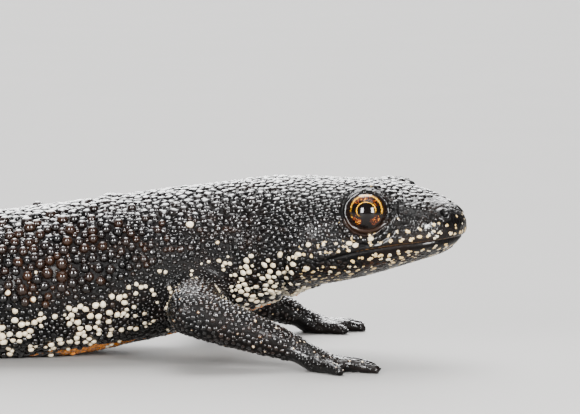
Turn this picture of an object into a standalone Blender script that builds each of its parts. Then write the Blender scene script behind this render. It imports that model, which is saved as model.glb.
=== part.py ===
"""A great crested newt at life size, at rest on the floor with its head raised on its forelegs.

The body is a loft of sections along a bent axis and each limb is a set of tapered tubes. All of them are
melted into one surface, which is levelled off at the floor and parted into named pieces with thin cuts.

Frame: metres, +Z up, +X towards the head, +Y to the animal's left. The origin is on the floor, under the
middle of the animal's bounding box. Sizes below are in millimetres and angles in degrees.
"""

import math
from dataclasses import dataclass

import bmesh
import bpy
from mathutils import Matrix, Vector

MM = 0.001
GAP = 0.3  # width of every cut, and the room round each eye


@dataclass(frozen=True)
class Station:
    """One upright section of the body. along is measured back from the snout's tip."""

    along: float
    half_width: float
    top: float
    bottom: float
    widest: float = 0.42  # share of the height at which the section is widest
    upper: float = 2.2  # fullness above that line: 1 is a wedge, 2 an ellipse, more is boxier
    lower: float = 2.2  # fullness below it


STATIONS = (
    Station(0.0, 3.5, 12.7, 9.5, 0.46, 2.0, 2.0),  # snout, before its tip is rounded
    Station(2.5, 3.95, 13.6, 8.75, 0.42, 2.2, 2.1),
    Station(4.6, 4.5, 14.2, 8.1, 0.40, 2.4, 2.2),
    Station(6.4, 5.0, 14.55, 7.5, 0.38, 2.6, 2.3),  # eyes
    Station(8.5, 5.6, 14.7, 6.9, 0.36, 2.6, 2.3),
    Station(10.8, 6.2, 14.75, 6.35, 0.36, 2.5, 2.3),  # corner of the mouth
    Station(13.2, 6.3, 14.8, 5.8, 0.38, 2.4, 2.2),
    Station(15.7, 5.9, 14.8, 4.8, 0.42, 2.3, 2.1),  # fold of the throat
    Station(19.0, 5.6, 14.55, 3.5, 0.45, 2.2, 2.0),  # neck
    Station(24.0, 6.3, 13.95, 1.9, 0.44, 2.2, 2.1),  # shoulders
    Station(33.0, 7.4, 12.75, 0.2, 0.42, 2.2, 2.3),
    Station(38.0, 7.8, 12.1, -0.2, 0.42, 2.2, 2.4),  # from here the belly lies on the floor
    Station(47.0, 8.0, 11.4, -0.25, 0.42, 2.2, 2.4),
    Station(56.0, 7.2, 10.8, -0.2, 0.42, 2.2, 2.3),
    Station(62.0, 6.0, 9.8, -0.1, 0.42, 2.2, 2.2),
    Station(68.0, 4.9, 8.9, 0.1, 0.42, 2.2, 2.1),  # hips
    Station(74.0, 4.1, 8.4, -0.15, 0.44, 2.1, 2.2),  # vent
    Station(79.0, 3.1, 8.2, 0.3, 0.46, 1.9, 1.9),  # root of the tail
    Station(88.0, 2.45, 8.3, -0.1, 0.46, 1.5, 1.7),
    Station(100.0, 1.95, 7.7, -0.15, 0.44, 1.4, 1.7),
    Station(112.0, 1.5, 6.5, -0.15, 0.42, 1.4, 1.7),
    Station(124.0, 1.1, 4.9, -0.15, 0.40, 1.5, 1.8),
    Station(134.0, 0.8, 3.1, -0.15, 0.38, 1.7, 2.0),
    Station(142.0, 0.55, 1.3, -0.15, 0.36, 2.0, 2.0),  # tail, before its tip is rounded
)
BODY_LENGTH = STATIONS[-1].along
SNOUT_ROUND = 3.4  # how far back the snout is still rounding, seen from above
SNOUT_ROUND_UP = 2.2  # and seen from the side
SNOUT_HEIGHT = 11.3
TAIL_TIP_ROUND = 1.5
RING_POINTS = 40
RING_STEP = 1.0

# Which way the body faces in plan, and how far it rolls to its right, against the distance from the snout.
HEADINGS = ((0, -20), (11, -20), (21, -6), (28, 0), (44, 0), (60, -7), (72, -14), (92, -22), (112, -6),
            (130, 14), (142, 24))
ROLLS = ((0, 3), (10, 3), (20, 0), (BODY_LENGTH, 0))

# Mouth, as distance from the snout and height: its last stretch turns down behind the corner of the jaw.
MOUTH = ((-1.0, 10.3), (0.0, 10.2), (3.0, 10.0), (6.0, 9.62), (10.6, 8.62), (13.8, 4.0))

EYE_RADIUS = 1.9
EYE_AT = (7.25, 3.7, 12.55)  # distance from the snout, sideways, height
ORBIT_RADIUS = 2.5
ORBIT_AT = (7.3, 2.95, 12.35)

VOXEL = 0.24
MELT_ROUNDS = 4  # of smoothing after the shapes are melted together
FLESH_TRIANGLES = 4300


@dataclass(frozen=True)
class Limb:
    """Sizes shared by the two limbs of a pair: lengths, and radii from the trunk to the knuckles."""

    names: tuple
    along: float
    sideways: float
    height: float
    upper: float
    lower: float
    palm: float
    radii: tuple  # at the root, middle of the upper part, elbow, middle of the lower part, wrist
    palm_half_width: float
    digits: tuple  # (length, direction) for each, from the inner to the outer
    leaves_trunk: float  # distance from the midline at which the limb is cut from the trunk
    flank_out: float  # direction that the flank faces there, outward from the heading
    root_size: float  # reach of that cut


@dataclass(frozen=True)
class Stance:
    """Where one limb points. Directions are outward from the heading there, pitches are above level."""

    upper_out: float
    upper_pitch: float
    lower_out: float
    hand_out: float


FORE = Limb(("upper_arm", "forearm", "hand"), 22.6, 3.9, 5.2, 7.0, 8.6, 2.6, (2.4, 2.05, 1.95, 1.68, 1.12),
            1.45, ((2.7, -38), (4.1, -13), (4.7, 9), (3.2, 36)), 7.1, 84, 3.3)
HIND = Limb(("thigh", "shin", "foot"), 67.0, 2.6, 4.6, 8.4, 7.8, 3.0, (2.6, 2.35, 1.85, 1.5, 1.05),
            1.6, ((2.5, -44), (3.9, -22), (5.0, -1), (4.9, 20), (3.1, 44)), 6.1, 100, 4.3)
STANCES = {
    ("right", FORE): Stance(90, -4.5, -2, 6),
    ("left", FORE): Stance(100, -1.5, 20, 28),
    ("right", HIND): Stance(62, 0, 138, 62),
    ("left", HIND): Stance(78, 0, 152, 76),
}
PALM_HEIGHT = 0.62  # of the wrist's end of the palm, above the floor
WRIST_HEIGHT = 1.25
PALM_FLATNESS = 0.52
DIGIT_RADII = (0.56, 0.5, 0.42)  # at the knuckle, middle and tip
DIGIT_HEIGHTS = (0.55, 0.62, 0.33)
DIGIT_FLATNESS = 0.9
LIMB_POINTS = 20

# Where the body is parted, as distances from the snout, and the pieces that come between.
BODY_CUTS = (14.6, 19.0, 32.0, 59.0, 77.6, 99.0, 121.0)
BODY_PIECES = ("head", "neck", "chest", "belly", "hips", "tail_base", "tail_middle", "tail_tip")

CHARCOAL = (0.022, 0.019, 0.017, 1)
FLECKED_BROWN = (0.10, 0.055, 0.025, 1)
GOLD = (0.32, 0.12, 0.02, 1)
PIECE_COLOURS = {"lower_jaw": FLECKED_BROWN, "eye_left": GOLD, "eye_right": GOLD}  # the rest is charcoal
WET_SKIN = 0.35  # roughness
WET_EYE = 0.08


def value_at(table, x):
    """The height at x of a smooth curve through the (x, height) pairs of table."""
    xs = [p[0] for p in table]
    ys = [p[1] for p in table]
    if x <= xs[0]:
        return ys[0]
    if x >= xs[-1]:
        return ys[-1]
    i = max(k for k in range(len(xs) - 1) if xs[k] <= x)

    def slope(k):
        low, high = max(k - 1, 0), min(k + 1, len(xs) - 1)
        return (ys[high] - ys[low]) / (xs[high] - xs[low])

    span = xs[i + 1] - xs[i]
    t = (x - xs[i]) / span
    rise = ys[i + 1] - ys[i]
    ease = t * t * (3 - 2 * t)
    return ys[i] + rise * ease + span * (slope(i) * t * (1 - t) ** 2 - slope(i + 1) * t * t * (1 - t))


def station_at(along):
    """The body's section at this distance from the snout, read from curves through STATIONS."""
    def read(field):
        return value_at([(s.along, getattr(s, field)) for s in STATIONS], along)

    return Station(along, *(read(f) for f in ("half_width", "top", "bottom", "widest", "upper", "lower")))


def rounding(distance, reach):
    """How full a rounded end is at this distance from its tip: 0 at the tip, 1 from reach onwards."""
    return math.sqrt(max(0.0, 1 - (1 - min(distance / reach, 1)) ** 2))


class Axis:
    """The line that the body follows in plan, with the snout's tip at (0, 0)."""

    STEP = 0.25

    def __init__(self):
        self.places = [Vector((0, 0, 0))]
        for i in range(round((BODY_LENGTH + 2) / self.STEP)):
            forward = self.forward((i + 0.5) * self.STEP)
            self.places.append(self.places[-1] - forward * self.STEP)

    @staticmethod
    def forward(along):
        heading = math.radians(value_at(HEADINGS, along))
        return Vector((math.cos(heading), math.sin(heading), 0))

    def left(self, along):
        return Vector((0, 0, 1)).cross(self.forward(along))

    def at(self, along, sideways=0.0, height=0.0):
        """The point that lies sideways, to the left, and at that height, abreast of this distance."""
        i = min(max(along, 0) / self.STEP, len(self.places) - 2)
        place = self.places[int(i)].lerp(self.places[int(i) + 1], i - int(i))
        place -= self.forward(0) * min(along, 0)
        return place + self.left(along) * sideways + Vector((0, 0, height))

    def rolled(self, along, sideways, height):
        """Like at, but turned about the axis by the roll there."""
        centre = station_at(along)
        middle = (centre.top + centre.bottom) / 2
        roll = math.radians(value_at(ROLLS, along))
        rise = height - middle
        return self.at(along, sideways * math.cos(roll) - rise * math.sin(roll),
                       middle + rise * math.cos(roll) + sideways * math.sin(roll))


def signed_power(x, power):
    return math.copysign(abs(x) ** power, x)


def body_ring(axis, along):
    """The points round the body at this distance from the snout."""
    s = station_at(along)
    width = s.half_width * rounding(along, SNOUT_ROUND) * rounding(BODY_LENGTH - along, TAIL_TIP_ROUND)
    upright = rounding(along, SNOUT_ROUND_UP) * rounding(BODY_LENGTH - along, TAIL_TIP_ROUND)
    snout_share = max(0.0, 1 - along / SNOUT_ROUND_UP)
    centre = s.bottom + s.widest * (s.top - s.bottom)
    centre += (SNOUT_HEIGHT - centre) * snout_share
    points = []
    for i in range(RING_POINTS):
        angle = math.tau * i / RING_POINTS
        power = 2 / (s.upper if math.sin(angle) > 0 else s.lower)
        reach = (s.top if math.sin(angle) > 0 else s.bottom) - centre
        sideways = width * signed_power(math.cos(angle), power)
        rise = abs(reach) * upright * signed_power(math.sin(angle), power)
        points.append(axis.rolled(along, sideways, centre + rise))
    return points


def body_places():
    """Distances from the snout of the body's rings, closer together at its two tips."""
    tip = [SNOUT_ROUND * (1 - math.cos(math.radians(a))) for a in (4, 12, 22, 34, 46, 58)]
    middle = []
    at = tip[-1] + RING_STEP
    while at < BODY_LENGTH - TAIL_TIP_ROUND:
        middle.append(at)
        at += RING_STEP
    end = [BODY_LENGTH - TAIL_TIP_ROUND * (1 - math.cos(math.radians(a))) for a in (70, 40, 15)]
    return tip + middle + end


def add_loft(bm, rings):
    """Adds the surface that runs through rings, closed at both ends, to bm. Points are in millimetres."""
    loops = []
    for ring in rings:
        verts = [bm.verts.new(p * MM) for p in ring]
        loops.append([bm.edges.new((verts[i - 1], verts[i])) for i in range(len(verts))])
    for before, after in zip(loops, loops[1:]):
        bmesh.ops.bridge_loops(bm, edges=before + after)
    for end in (loops[0], loops[-1]):
        bmesh.ops.edgeloop_fill(bm, edges=end)


def add_tube(bm, points, radii, flatness=1.0):
    """Adds a round-ended tube along a smooth line through points. flatness is its height over its width."""
    travelled = [0.0]
    for a, b in zip(points, points[1:]):
        travelled.append(travelled[-1] + (b - a).length)

    def on_line(t):
        return Vector([value_at([(d, p[k]) for d, p in zip(travelled, points)], t) for k in range(3)])

    steps = max(6, round(travelled[-1] / 0.5))
    rings = []
    for i in range(-4, steps + 5):
        t = travelled[-1] * min(max(i / steps, 0), 1)
        near = min(max(t, 0.02), travelled[-1] - 0.02)
        forward = (on_line(near + 0.02) - on_line(near - 0.02)).normalized()
        side = forward.cross(Vector((0, 0, 1))).normalized()
        up = side.cross(forward)
        radius = value_at(list(zip(travelled, radii)), t)
        past = math.radians(max(-i, i - steps, 0) * 21)
        centre = on_line(t) + forward * radius * math.sin(past) * (1 if i > 0 else -1)
        radius *= math.cos(past)
        rings.append([centre + side * radius * math.cos(a) + up * radius * flatness * math.sin(a)
                      for a in (math.tau * k / LIMB_POINTS for k in range(LIMB_POINTS))])
    add_loft(bm, rings)


def toward(heading, pitch=0.0):
    """The unit vector with this compass heading, from +X towards +Y, and pitch."""
    h, p = math.radians(heading), math.radians(pitch)
    return Vector((math.cos(h) * math.cos(p), math.sin(h) * math.cos(p), math.sin(p)))


class PosedLimb:
    """One limb in its stance: its joints, and the directions of its parts."""

    def __init__(self, axis, limb, side, stance):
        self.limb = limb
        self.side = side
        outward = 1 if side == "left" else -1
        ahead = value_at(HEADINGS, limb.along)
        self.root = axis.at(limb.along, outward * limb.sideways, limb.height)
        self.elbow = self.root + toward(ahead + outward * stance.upper_out, stance.upper_pitch) * limb.upper
        fall = self.elbow.z - WRIST_HEIGHT - limb.radii[-1] * 0.5
        level = math.sqrt(limb.lower**2 - fall**2)
        self.wrist = self.elbow + toward(ahead + outward * stance.lower_out) * level - Vector((0, 0, fall))
        self.hand_heading = ahead + outward * stance.hand_out
        self.outward = outward
        self.flank = toward(ahead + outward * limb.flank_out)
        to_flank = (limb.leaves_trunk - limb.sideways) / math.sin(math.radians(stance.upper_out))
        self.leaving = self.root.lerp(self.elbow, to_flank / limb.upper)
        self.knuckles = self.wrist + toward(self.hand_heading) * limb.palm
        self.knuckles.z = PALM_HEIGHT

    def add_to(self, bm):
        """Adds the upper and lower parts, the palm and the digits to bm."""
        limb = self.limb
        upper_middle = (self.root + self.elbow) / 2
        lower_middle = (self.elbow + self.wrist) / 2
        add_tube(bm, [self.root, upper_middle, self.elbow], limb.radii[:3])
        add_tube(bm, [self.elbow, lower_middle, self.wrist], limb.radii[2:])
        palm_middle = (self.wrist * 0.45 + self.knuckles * 0.55)
        palm_middle.z = (PALM_HEIGHT + self.wrist.z) / 2 - 0.1
        palm_radii = [limb.radii[-1], limb.palm_half_width * 0.95, limb.palm_half_width * 0.9]
        add_tube(bm, [self.wrist, palm_middle, self.knuckles], palm_radii, PALM_FLATNESS * 1.25)
        across = toward(self.hand_heading + 90)
        for length, spread in limb.digits:
            heading = self.hand_heading + self.outward * spread
            knuckle = self.knuckles + across * self.outward * limb.palm_half_width * spread / 52
            knuckle -= toward(self.hand_heading) * abs(spread) / 52
            start, middle, tip = (knuckle + toward(heading) * length * share for share in (0, 0.55, 1))
            for point, height in zip((start, middle, tip), DIGIT_HEIGHTS):
                point.z = height
            add_tube(bm, [start, middle, tip], DIGIT_RADII, DIGIT_FLATNESS)


def mesh_object(name, bm):
    """A new object in the scene that holds bm, which is freed."""
    bmesh.ops.recalc_face_normals(bm, faces=bm.faces)
    mesh = bpy.data.meshes.new(name)
    bm.to_mesh(mesh)
    bm.free()
    made = bpy.data.objects.new(name, mesh)
    bpy.context.collection.objects.link(made)
    return made


def add_ball(bm, centre, radius, segments=24, rings=14):
    bmesh.ops.create_uvsphere(bm, u_segments=segments, v_segments=rings, radius=radius * MM,
                              matrix=Matrix.Translation(centre * MM))


def with_modifiers_applied(made):
    """Replaces made's mesh by what its modifiers give."""
    graph = bpy.context.evaluated_depsgraph_get()
    mesh = bpy.data.meshes.new_from_object(made.evaluated_get(graph))
    made.modifiers.clear()
    made.data = mesh


def cut_away(made, bm):
    """Takes the closed shape in bm away from made."""
    cutter = mesh_object("cutter", bm)
    cutter.hide_render = True
    cutter.display_type = "WIRE"
    modifier = made.modifiers.new("cut", "BOOLEAN")
    modifier.operation = "DIFFERENCE"
    modifier.object = cutter
    with_modifiers_applied(made)
    bpy.data.objects.remove(cutter)


def melted_body(axis, limbs):
    """The whole animal as one closed surface."""
    bm = bmesh.new()
    add_loft(bm, [body_ring(axis, along) for along in body_places()])
    for side in (1, -1):
        along, sideways, height = ORBIT_AT
        add_ball(bm, axis.rolled(along, side * sideways, height), ORBIT_RADIUS)
    for limb in limbs:
        limb.add_to(bm)
    body = mesh_object("body", bm)
    melt = body.modifiers.new("melt", "REMESH")
    melt.mode = "VOXEL"
    melt.voxel_size = VOXEL * MM
    smooth = body.modifiers.new("smooth", "SMOOTH")
    smooth.iterations = MELT_ROUNDS
    with_modifiers_applied(body)
    thin = body.modifiers.new("thin", "DECIMATE")
    thin.ratio = FLESH_TRIANGLES / (2 * len(body.data.polygons))
    with_modifiers_applied(body)
    return body


def slab(place, normal, half_size):
    """A round plate of the cuts' width, centred on place and square to normal."""
    bm = bmesh.new()
    turn = normal.to_track_quat("Z", "Y").to_matrix().to_4x4()
    bmesh.ops.create_cone(bm, cap_ends=True, segments=24, radius1=half_size * MM, radius2=half_size * MM,
                          depth=GAP * MM, matrix=Matrix.Translation(place * MM) @ turn)
    return bm


def body_slab(axis, along):
    """A flat block across the body, a little larger than its section there."""
    s = station_at(along)
    margin = 0.9
    bm = bmesh.new()
    corners = []
    for ahead in (-GAP / 2, GAP / 2):
        for sideways, height in ((-1, s.bottom - margin), (1, s.bottom - margin), (1, s.top + margin),
                                 (-1, s.top + margin)):
            level = axis.at(along, sideways * (s.half_width + margin), height)
            corners.append(bm.verts.new((level + axis.forward(along) * ahead) * MM))
    bmesh.ops.convex_hull(bm, input=corners)
    return bm


def mouth_slab(axis):
    """A bent plate that follows the mouth and then turns down behind the jaw."""
    bm = bmesh.new()
    reach = 9.0

    def row(sideways):
        verts = []
        for shift in (GAP / 2, -GAP / 2):
            line = MOUTH if shift > 0 else MOUTH[::-1]
            for along, height in line:
                back = -shift * 0.9 if along > 12 else 0.0
                verts.append(bm.verts.new(axis.rolled(along - back, sideways, height + shift) * MM))
        return verts

    first, second = row(-reach), row(reach)
    bm.faces.new(first)
    bm.faces.new(second)
    for i in range(len(first)):
        bm.faces.new((first[i - 1], first[i], second[i], second[i - 1]))
    return bm


def level_off(body):
    """Cuts body off at the floor, so that what touches it is flat."""
    bm = bmesh.new()
    bmesh.ops.create_cube(bm, size=0.4, matrix=Matrix.Translation((0, 0, -0.2)))
    cut_away(body, bm)


def loose_pieces(body):
    """Lists the separate closed surfaces of body, each as a set of faces' vertex indices."""
    bm = bmesh.new()
    bm.from_mesh(body.data)
    bm.verts.ensure_lookup_table()
    found, seen = [], set()
    for start in bm.verts:
        if start.index in seen:
            continue
        group, todo = set(), [start]
        while todo:
            vert = todo.pop()
            if vert.index in group:
                continue
            group.add(vert.index)
            todo.extend(edge.other_vert(vert) for edge in vert.link_edges)
        seen |= group
        found.append(group)
    bm.free()
    return found


def part(body, anchors):
    """Makes an object of each loose piece of body, named after the anchor that lies nearest its middle."""
    pieces = []
    for group in loose_pieces(body):
        points = [body.data.vertices[i].co for i in group]
        low = Vector([min(p[k] for p in points) for k in range(3)])
        high = Vector([max(p[k] for p in points) for k in range(3)])
        if (high - low).length < 1.0 * MM:
            continue
        bm = bmesh.new()
        bm.from_mesh(body.data)
        bmesh.ops.delete(bm, geom=[v for v in bm.verts if v.index not in group], context="VERTS")
        middle = (low + high) / 2
        name = min(anchors, key=lambda n: (anchors[n] * MM - middle).length)
        pieces.append(mesh_object(name, bm))
    bpy.data.objects.remove(body)
    return pieces


def finish(piece, newt):
    """Gives a piece its material and smooth shading, and places it by its own middle under newt."""
    made = bpy.data.materials.new(piece.name)
    made.use_nodes = True
    shader = made.node_tree.nodes["Principled BSDF"]
    shader.inputs["Base Color"].default_value = PIECE_COLOURS.get(piece.name, CHARCOAL)
    shader.inputs["Roughness"].default_value = WET_EYE if piece.name.startswith("eye") else WET_SKIN
    shader.inputs["Metallic"].default_value = 0.0
    piece.data.materials.append(made)
    piece.data.shade_smooth()
    piece.data.set_sharp_from_angle(angle=math.radians(40))
    low, high = bounds([piece])
    piece.location = (low + high) / 2
    piece.data.transform(Matrix.Translation(-piece.location))
    piece.parent = newt


def bounds(pieces):
    """The lowest and highest corners of the box round pieces."""
    corners = [v.co for piece in pieces for v in piece.data.vertices]
    return (Vector([pick(c[k] for c in corners) for k in range(3)]) for pick in (min, max))


def clear_scene():
    for existing in list(bpy.data.objects):
        bpy.data.objects.remove(existing)


def main():
    clear_scene()
    axis = Axis()
    limbs = [PosedLimb(axis, limb, side, stance) for (side, limb), stance in STANCES.items()]
    along, sideways, height = EYE_AT
    eyes = {
        "eye_left": axis.rolled(along, sideways, height),
        "eye_right": axis.rolled(along, -sideways, height),
    }

    body = melted_body(axis, limbs)
    level_off(body)
    for centre in eyes.values():
        bm = bmesh.new()
        add_ball(bm, centre, EYE_RADIUS + GAP)
        cut_away(body, bm)
    cut_away(body, mouth_slab(axis))
    for cut in BODY_CUTS:
        cut_away(body, body_slab(axis, cut))
    for limb in limbs:
        upper = (limb.elbow - limb.root).normalized()
        lower = (limb.wrist - limb.elbow).normalized()
        hand = (limb.knuckles - limb.wrist).normalized()
        cut_away(body, slab(limb.leaving, limb.flank, limb.limb.root_size))
        cut_away(body, slab(limb.elbow, upper + lower, 3.3))
        cut_away(body, slab(limb.wrist, lower + hand, 2.2))

    anchors = {"lower_jaw": axis.at(6.5, 0, 8.2)}
    ends = (5.0, *BODY_CUTS, BODY_LENGTH)
    for name, start, end in zip(BODY_PIECES, ends, ends[1:]):
        s = station_at((start + end) / 2)
        anchors[name] = axis.at((start + end) / 2, 0, (s.top + s.bottom) / 2)
    for limb in limbs:
        middles = ((limb.root + limb.elbow * 2) / 3, (limb.elbow + limb.wrist) / 2, limb.knuckles)
        for name, middle in zip(limb.limb.names, middles):
            anchors[f"{name}_{limb.side}"] = middle

    made = part(body, anchors)
    for name, centre in eyes.items():
        bm = bmesh.new()
        add_ball(bm, centre, EYE_RADIUS, 20, 12)
        made.append(mesh_object(name, bm))

    newt = bpy.data.objects.new("newt", None)
    bpy.context.collection.objects.link(newt)
    low, high = bounds(made)
    newt.location = -Vector(((low.x + high.x) / 2, (low.y + high.y) / 2, 0))
    for piece in made:
        finish(piece, newt)


main()
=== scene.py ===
"""Looks of the great crested newt: one moist skin with its warts, two eyes, and a plain studio.

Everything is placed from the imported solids. Lengths in the classes are millimetres unless a name ends in _m,
angles are degrees, and every mesh is written in metres at the end.
"""

import sys
import logging
import math
from collections.abc import Callable
from dataclasses import dataclass
from enum import Enum

import bmesh
import bpy
import numpy as np
from mathutils import Matrix, Vector, kdtree, noise
from mathutils.bvhtree import BVHTree


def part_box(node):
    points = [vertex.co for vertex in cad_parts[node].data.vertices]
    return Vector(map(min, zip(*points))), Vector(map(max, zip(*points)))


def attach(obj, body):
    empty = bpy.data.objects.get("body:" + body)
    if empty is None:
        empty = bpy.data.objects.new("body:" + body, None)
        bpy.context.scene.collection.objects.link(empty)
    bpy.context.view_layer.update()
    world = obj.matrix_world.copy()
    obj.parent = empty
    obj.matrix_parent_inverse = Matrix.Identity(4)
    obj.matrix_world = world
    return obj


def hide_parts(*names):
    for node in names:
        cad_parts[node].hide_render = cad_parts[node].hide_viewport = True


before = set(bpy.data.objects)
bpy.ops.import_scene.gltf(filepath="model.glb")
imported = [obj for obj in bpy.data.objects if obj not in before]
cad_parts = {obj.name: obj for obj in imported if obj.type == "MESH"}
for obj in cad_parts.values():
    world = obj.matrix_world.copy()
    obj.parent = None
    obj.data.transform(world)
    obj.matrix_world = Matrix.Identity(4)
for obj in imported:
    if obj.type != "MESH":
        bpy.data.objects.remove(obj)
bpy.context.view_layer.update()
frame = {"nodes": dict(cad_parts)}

LOG = logging.getLogger("newt")
MM = 0.001
MARKS = "marks"  # colour attribute: red belly, green cream fleck, blue brown, alpha how wet it shines; a low alpha also darkens the colour, as painted shade in the gaps between the warts
CALM = "calm"  # how smooth the skin is: 1 leaves none of the fine relief
LID_CALM = 0.88
LIP_CALM = 0.10
EYES = ("eye_left", "eye_right")
FACE = ("head", "lower_jaw")
HEAD = (*FACE, "neck")
BODY = ("chest", "belly", "hips")
TAIL = ("tail_base", "tail_middle", "tail_tip")
TRUNK = (*HEAD, *BODY, *TAIL)
HANDS = ("hand_left", "hand_right", "foot_left", "foot_right")


# ---------------------------------------------------------------- making objects


def mesh_from(bm: bmesh.types.BMesh, name: str) -> bpy.types.Mesh:
    """Turns a bmesh into a mesh with this name, and frees it.

    Args:
        bm: the bmesh.
        name: of the mesh.

    Returns:
        The mesh.
    """
    mesh = bpy.data.meshes.new(name)
    bm.to_mesh(mesh)
    bm.free()
    return mesh


def put_in_scene(name: str, data: bpy.types.ID) -> bpy.types.Object:
    """Makes an object of this data and links it to the scene.

    Args:
        name: of the object.
        data: its mesh, light or camera.

    Returns:
        The object.
    """
    made = bpy.data.objects.new(name, data)
    bpy.context.scene.collection.objects.link(made)
    return made


# ---------------------------------------------------------------- shader maths


class Value:
    """A shader socket that is added to, multiplied and compared like a number."""

    def __init__(self, recipe: "Recipe", socket: bpy.types.NodeSocket) -> None:
        """Wraps an output socket of a recipe's tree."""
        self.recipe = recipe
        self.socket = socket

    def _maths(self, operation: str, *terms: "Value | float") -> "Value":
        """Adds one Math node.

        Args:
            operation: the node's operation, such as "ADD".
            terms: its inputs in order.

        Returns:
            The node's result.
        """
        inputs = dict(enumerate(terms))
        return self.recipe.value("ShaderNodeMath", {"operation": operation}, inputs)

    def __add__(self, other: "Value | float") -> "Value":
        """Sum."""
        return self._maths("ADD", self, other)

    __radd__ = __add__

    def __sub__(self, other: "Value | float") -> "Value":
        """Difference."""
        return self._maths("SUBTRACT", self, other)

    def __rsub__(self, other: float) -> "Value":
        """Difference, from a number."""
        return self._maths("SUBTRACT", other, self)

    def __mul__(self, other: "Value | float") -> "Value":
        """Product."""
        return self._maths("MULTIPLY", self, other)

    __rmul__ = __mul__

    def __truediv__(self, other: "Value | float") -> "Value":
        """Quotient."""
        return self._maths("DIVIDE", self, other)

    def __pow__(self, other: float) -> "Value":
        """Power."""
        return self._maths("POWER", self, other)

    def __abs__(self) -> "Value":
        """Absolute value."""
        return self._maths("ABSOLUTE", self)

    def step(self, low: float, high: float) -> "Value":
        """A smooth rise between two values, or a fall where low is the larger.

        Args:
            low: where it is 0.
            high: where it is 1.

        Returns:
            The share risen, 0 to 1.
        """
        if low > high:
            return 1 - self.step(high, low)
        inputs = {"Value": self, "From Min": low, "From Max": high}
        return self.recipe.value("ShaderNodeMapRange", {"interpolation_type": "SMOOTHSTEP"}, inputs)


class Recipe:
    """A material under construction."""

    def __init__(self, name: str) -> None:
        """Makes an empty material with a Principled shader.

        Args:
            name: the material's name.
        """
        self.material = bpy.data.materials.new(name)
        self.material.use_nodes = True
        self.tree = self.material.node_tree
        self.shader = self.tree.nodes["Principled BSDF"]

    def node(self, kind: str, settings: dict, inputs: dict) -> bpy.types.Node:
        """Adds a node.

        Args:
            kind: its type.
            settings: attributes that are set before its sockets.
            inputs: values or links of its sockets, by name or number.

        Returns:
            The node.
        """
        made = self.tree.nodes.new(kind)
        for name, setting in settings.items():
            setattr(made, name, setting)
        for key, given in inputs.items():
            self.feed(made.inputs[key], given)
        return made

    def feed(self, socket: bpy.types.NodeSocket, given: object) -> None:
        """Links a Value to a socket, or sets the socket to a constant.

        Args:
            socket: an input of a node.
            given: a Value, a colour or a number.
        """
        if isinstance(given, Value):
            self.tree.links.new(given.socket, socket)
        elif isinstance(given, tuple) and len(given) == 3 and socket.type == "RGBA":
            socket.default_value = (*given, 1.0)
        else:
            socket.default_value = given

    def value(self, kind: str, settings: dict, inputs: dict, output: int | str = 0) -> Value:
        """Adds a node and returns one of its outputs."""
        return Value(self, self.node(kind, settings, inputs).outputs[output])

    def mix(self, share: "Value | float", first: "Value | tuple", second: "Value | tuple") -> Value:
        """Blends two colours.

        Args:
            share: 0 gives the first colour, 1 the second.
            first: a colour.
            second: a colour.

        Returns:
            The blended colour.
        """
        settings = {"data_type": "RGBA", "clamp_factor": True}
        return self.value("ShaderNodeMix", settings, {0: share, 6: first, 7: second}, 2)

    def noise(self, size: float, detail: float = 2.0, roughness: float = 0.5, stretch: float = 0.0) -> Value:
        """Noise on object coordinates.

        Args:
            size: of its features, in millimetres.
            detail: octaves.
            roughness: weight of the fine octaves.
            stretch: distortion.

        Returns:
            Its value, about 0.5 on average.
        """
        inputs = {"Vector": self.place(), "Scale": 1 / (size * MM), "Detail": detail, "Roughness": roughness,
                  "Distortion": stretch}
        return self.value("ShaderNodeTexNoise", {}, inputs)

    def cells(self, size: float) -> Value:
        """Distances in a field of random cells of this size, in millimetres."""
        inputs = {"Vector": self.place(), "Scale": 1 / (size * MM), "Randomness": 0.9}
        return self.value("ShaderNodeTexVoronoi", {}, inputs)

    def place(self) -> Value:
        """The object coordinates."""
        return self.value("ShaderNodeTexCoord", {}, {}, "Object")

    def marks(self) -> tuple[Value, Value, Value, Value]:
        """Reads the markings attribute.

        Returns:
            Its four channels.
        """
        read = self.node("ShaderNodeAttribute", {"attribute_name": MARKS}, {})
        colour = Value(self, read.outputs["Color"])
        split = self.node("ShaderNodeSeparateColor", {}, {0: colour})
        return (*(Value(self, split.outputs[k]) for k in range(3)), Value(self, read.outputs["Alpha"]))

    def number(self, attribute: str) -> Value:
        """A number attribute."""
        return self.value("ShaderNodeAttribute", {"attribute_name": attribute}, {}, "Fac")

    def bump(self, height: Value, depth: float) -> Value:
        """A normal from a height.

        Args:
            height: 0 to 1.
            depth: in millimetres, between a height of 0 and 1.

        Returns:
            The normal.
        """
        inputs = {"Height": height, "Distance": depth * MM, "Strength": 1.0}
        return self.value("ShaderNodeBump", {}, inputs)

    def surface(self, **sockets: object) -> bpy.types.Material:
        """Feeds the Principled shader.

        Args:
            **sockets: what its sockets get, with underscores for the spaces in their names.

        Returns:
            The material.
        """
        for name, given in sockets.items():
            self.feed(self.shader.inputs[name.replace("_", " ")], given)
        return self.material


# ---------------------------------------------------------------- finishes


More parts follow.
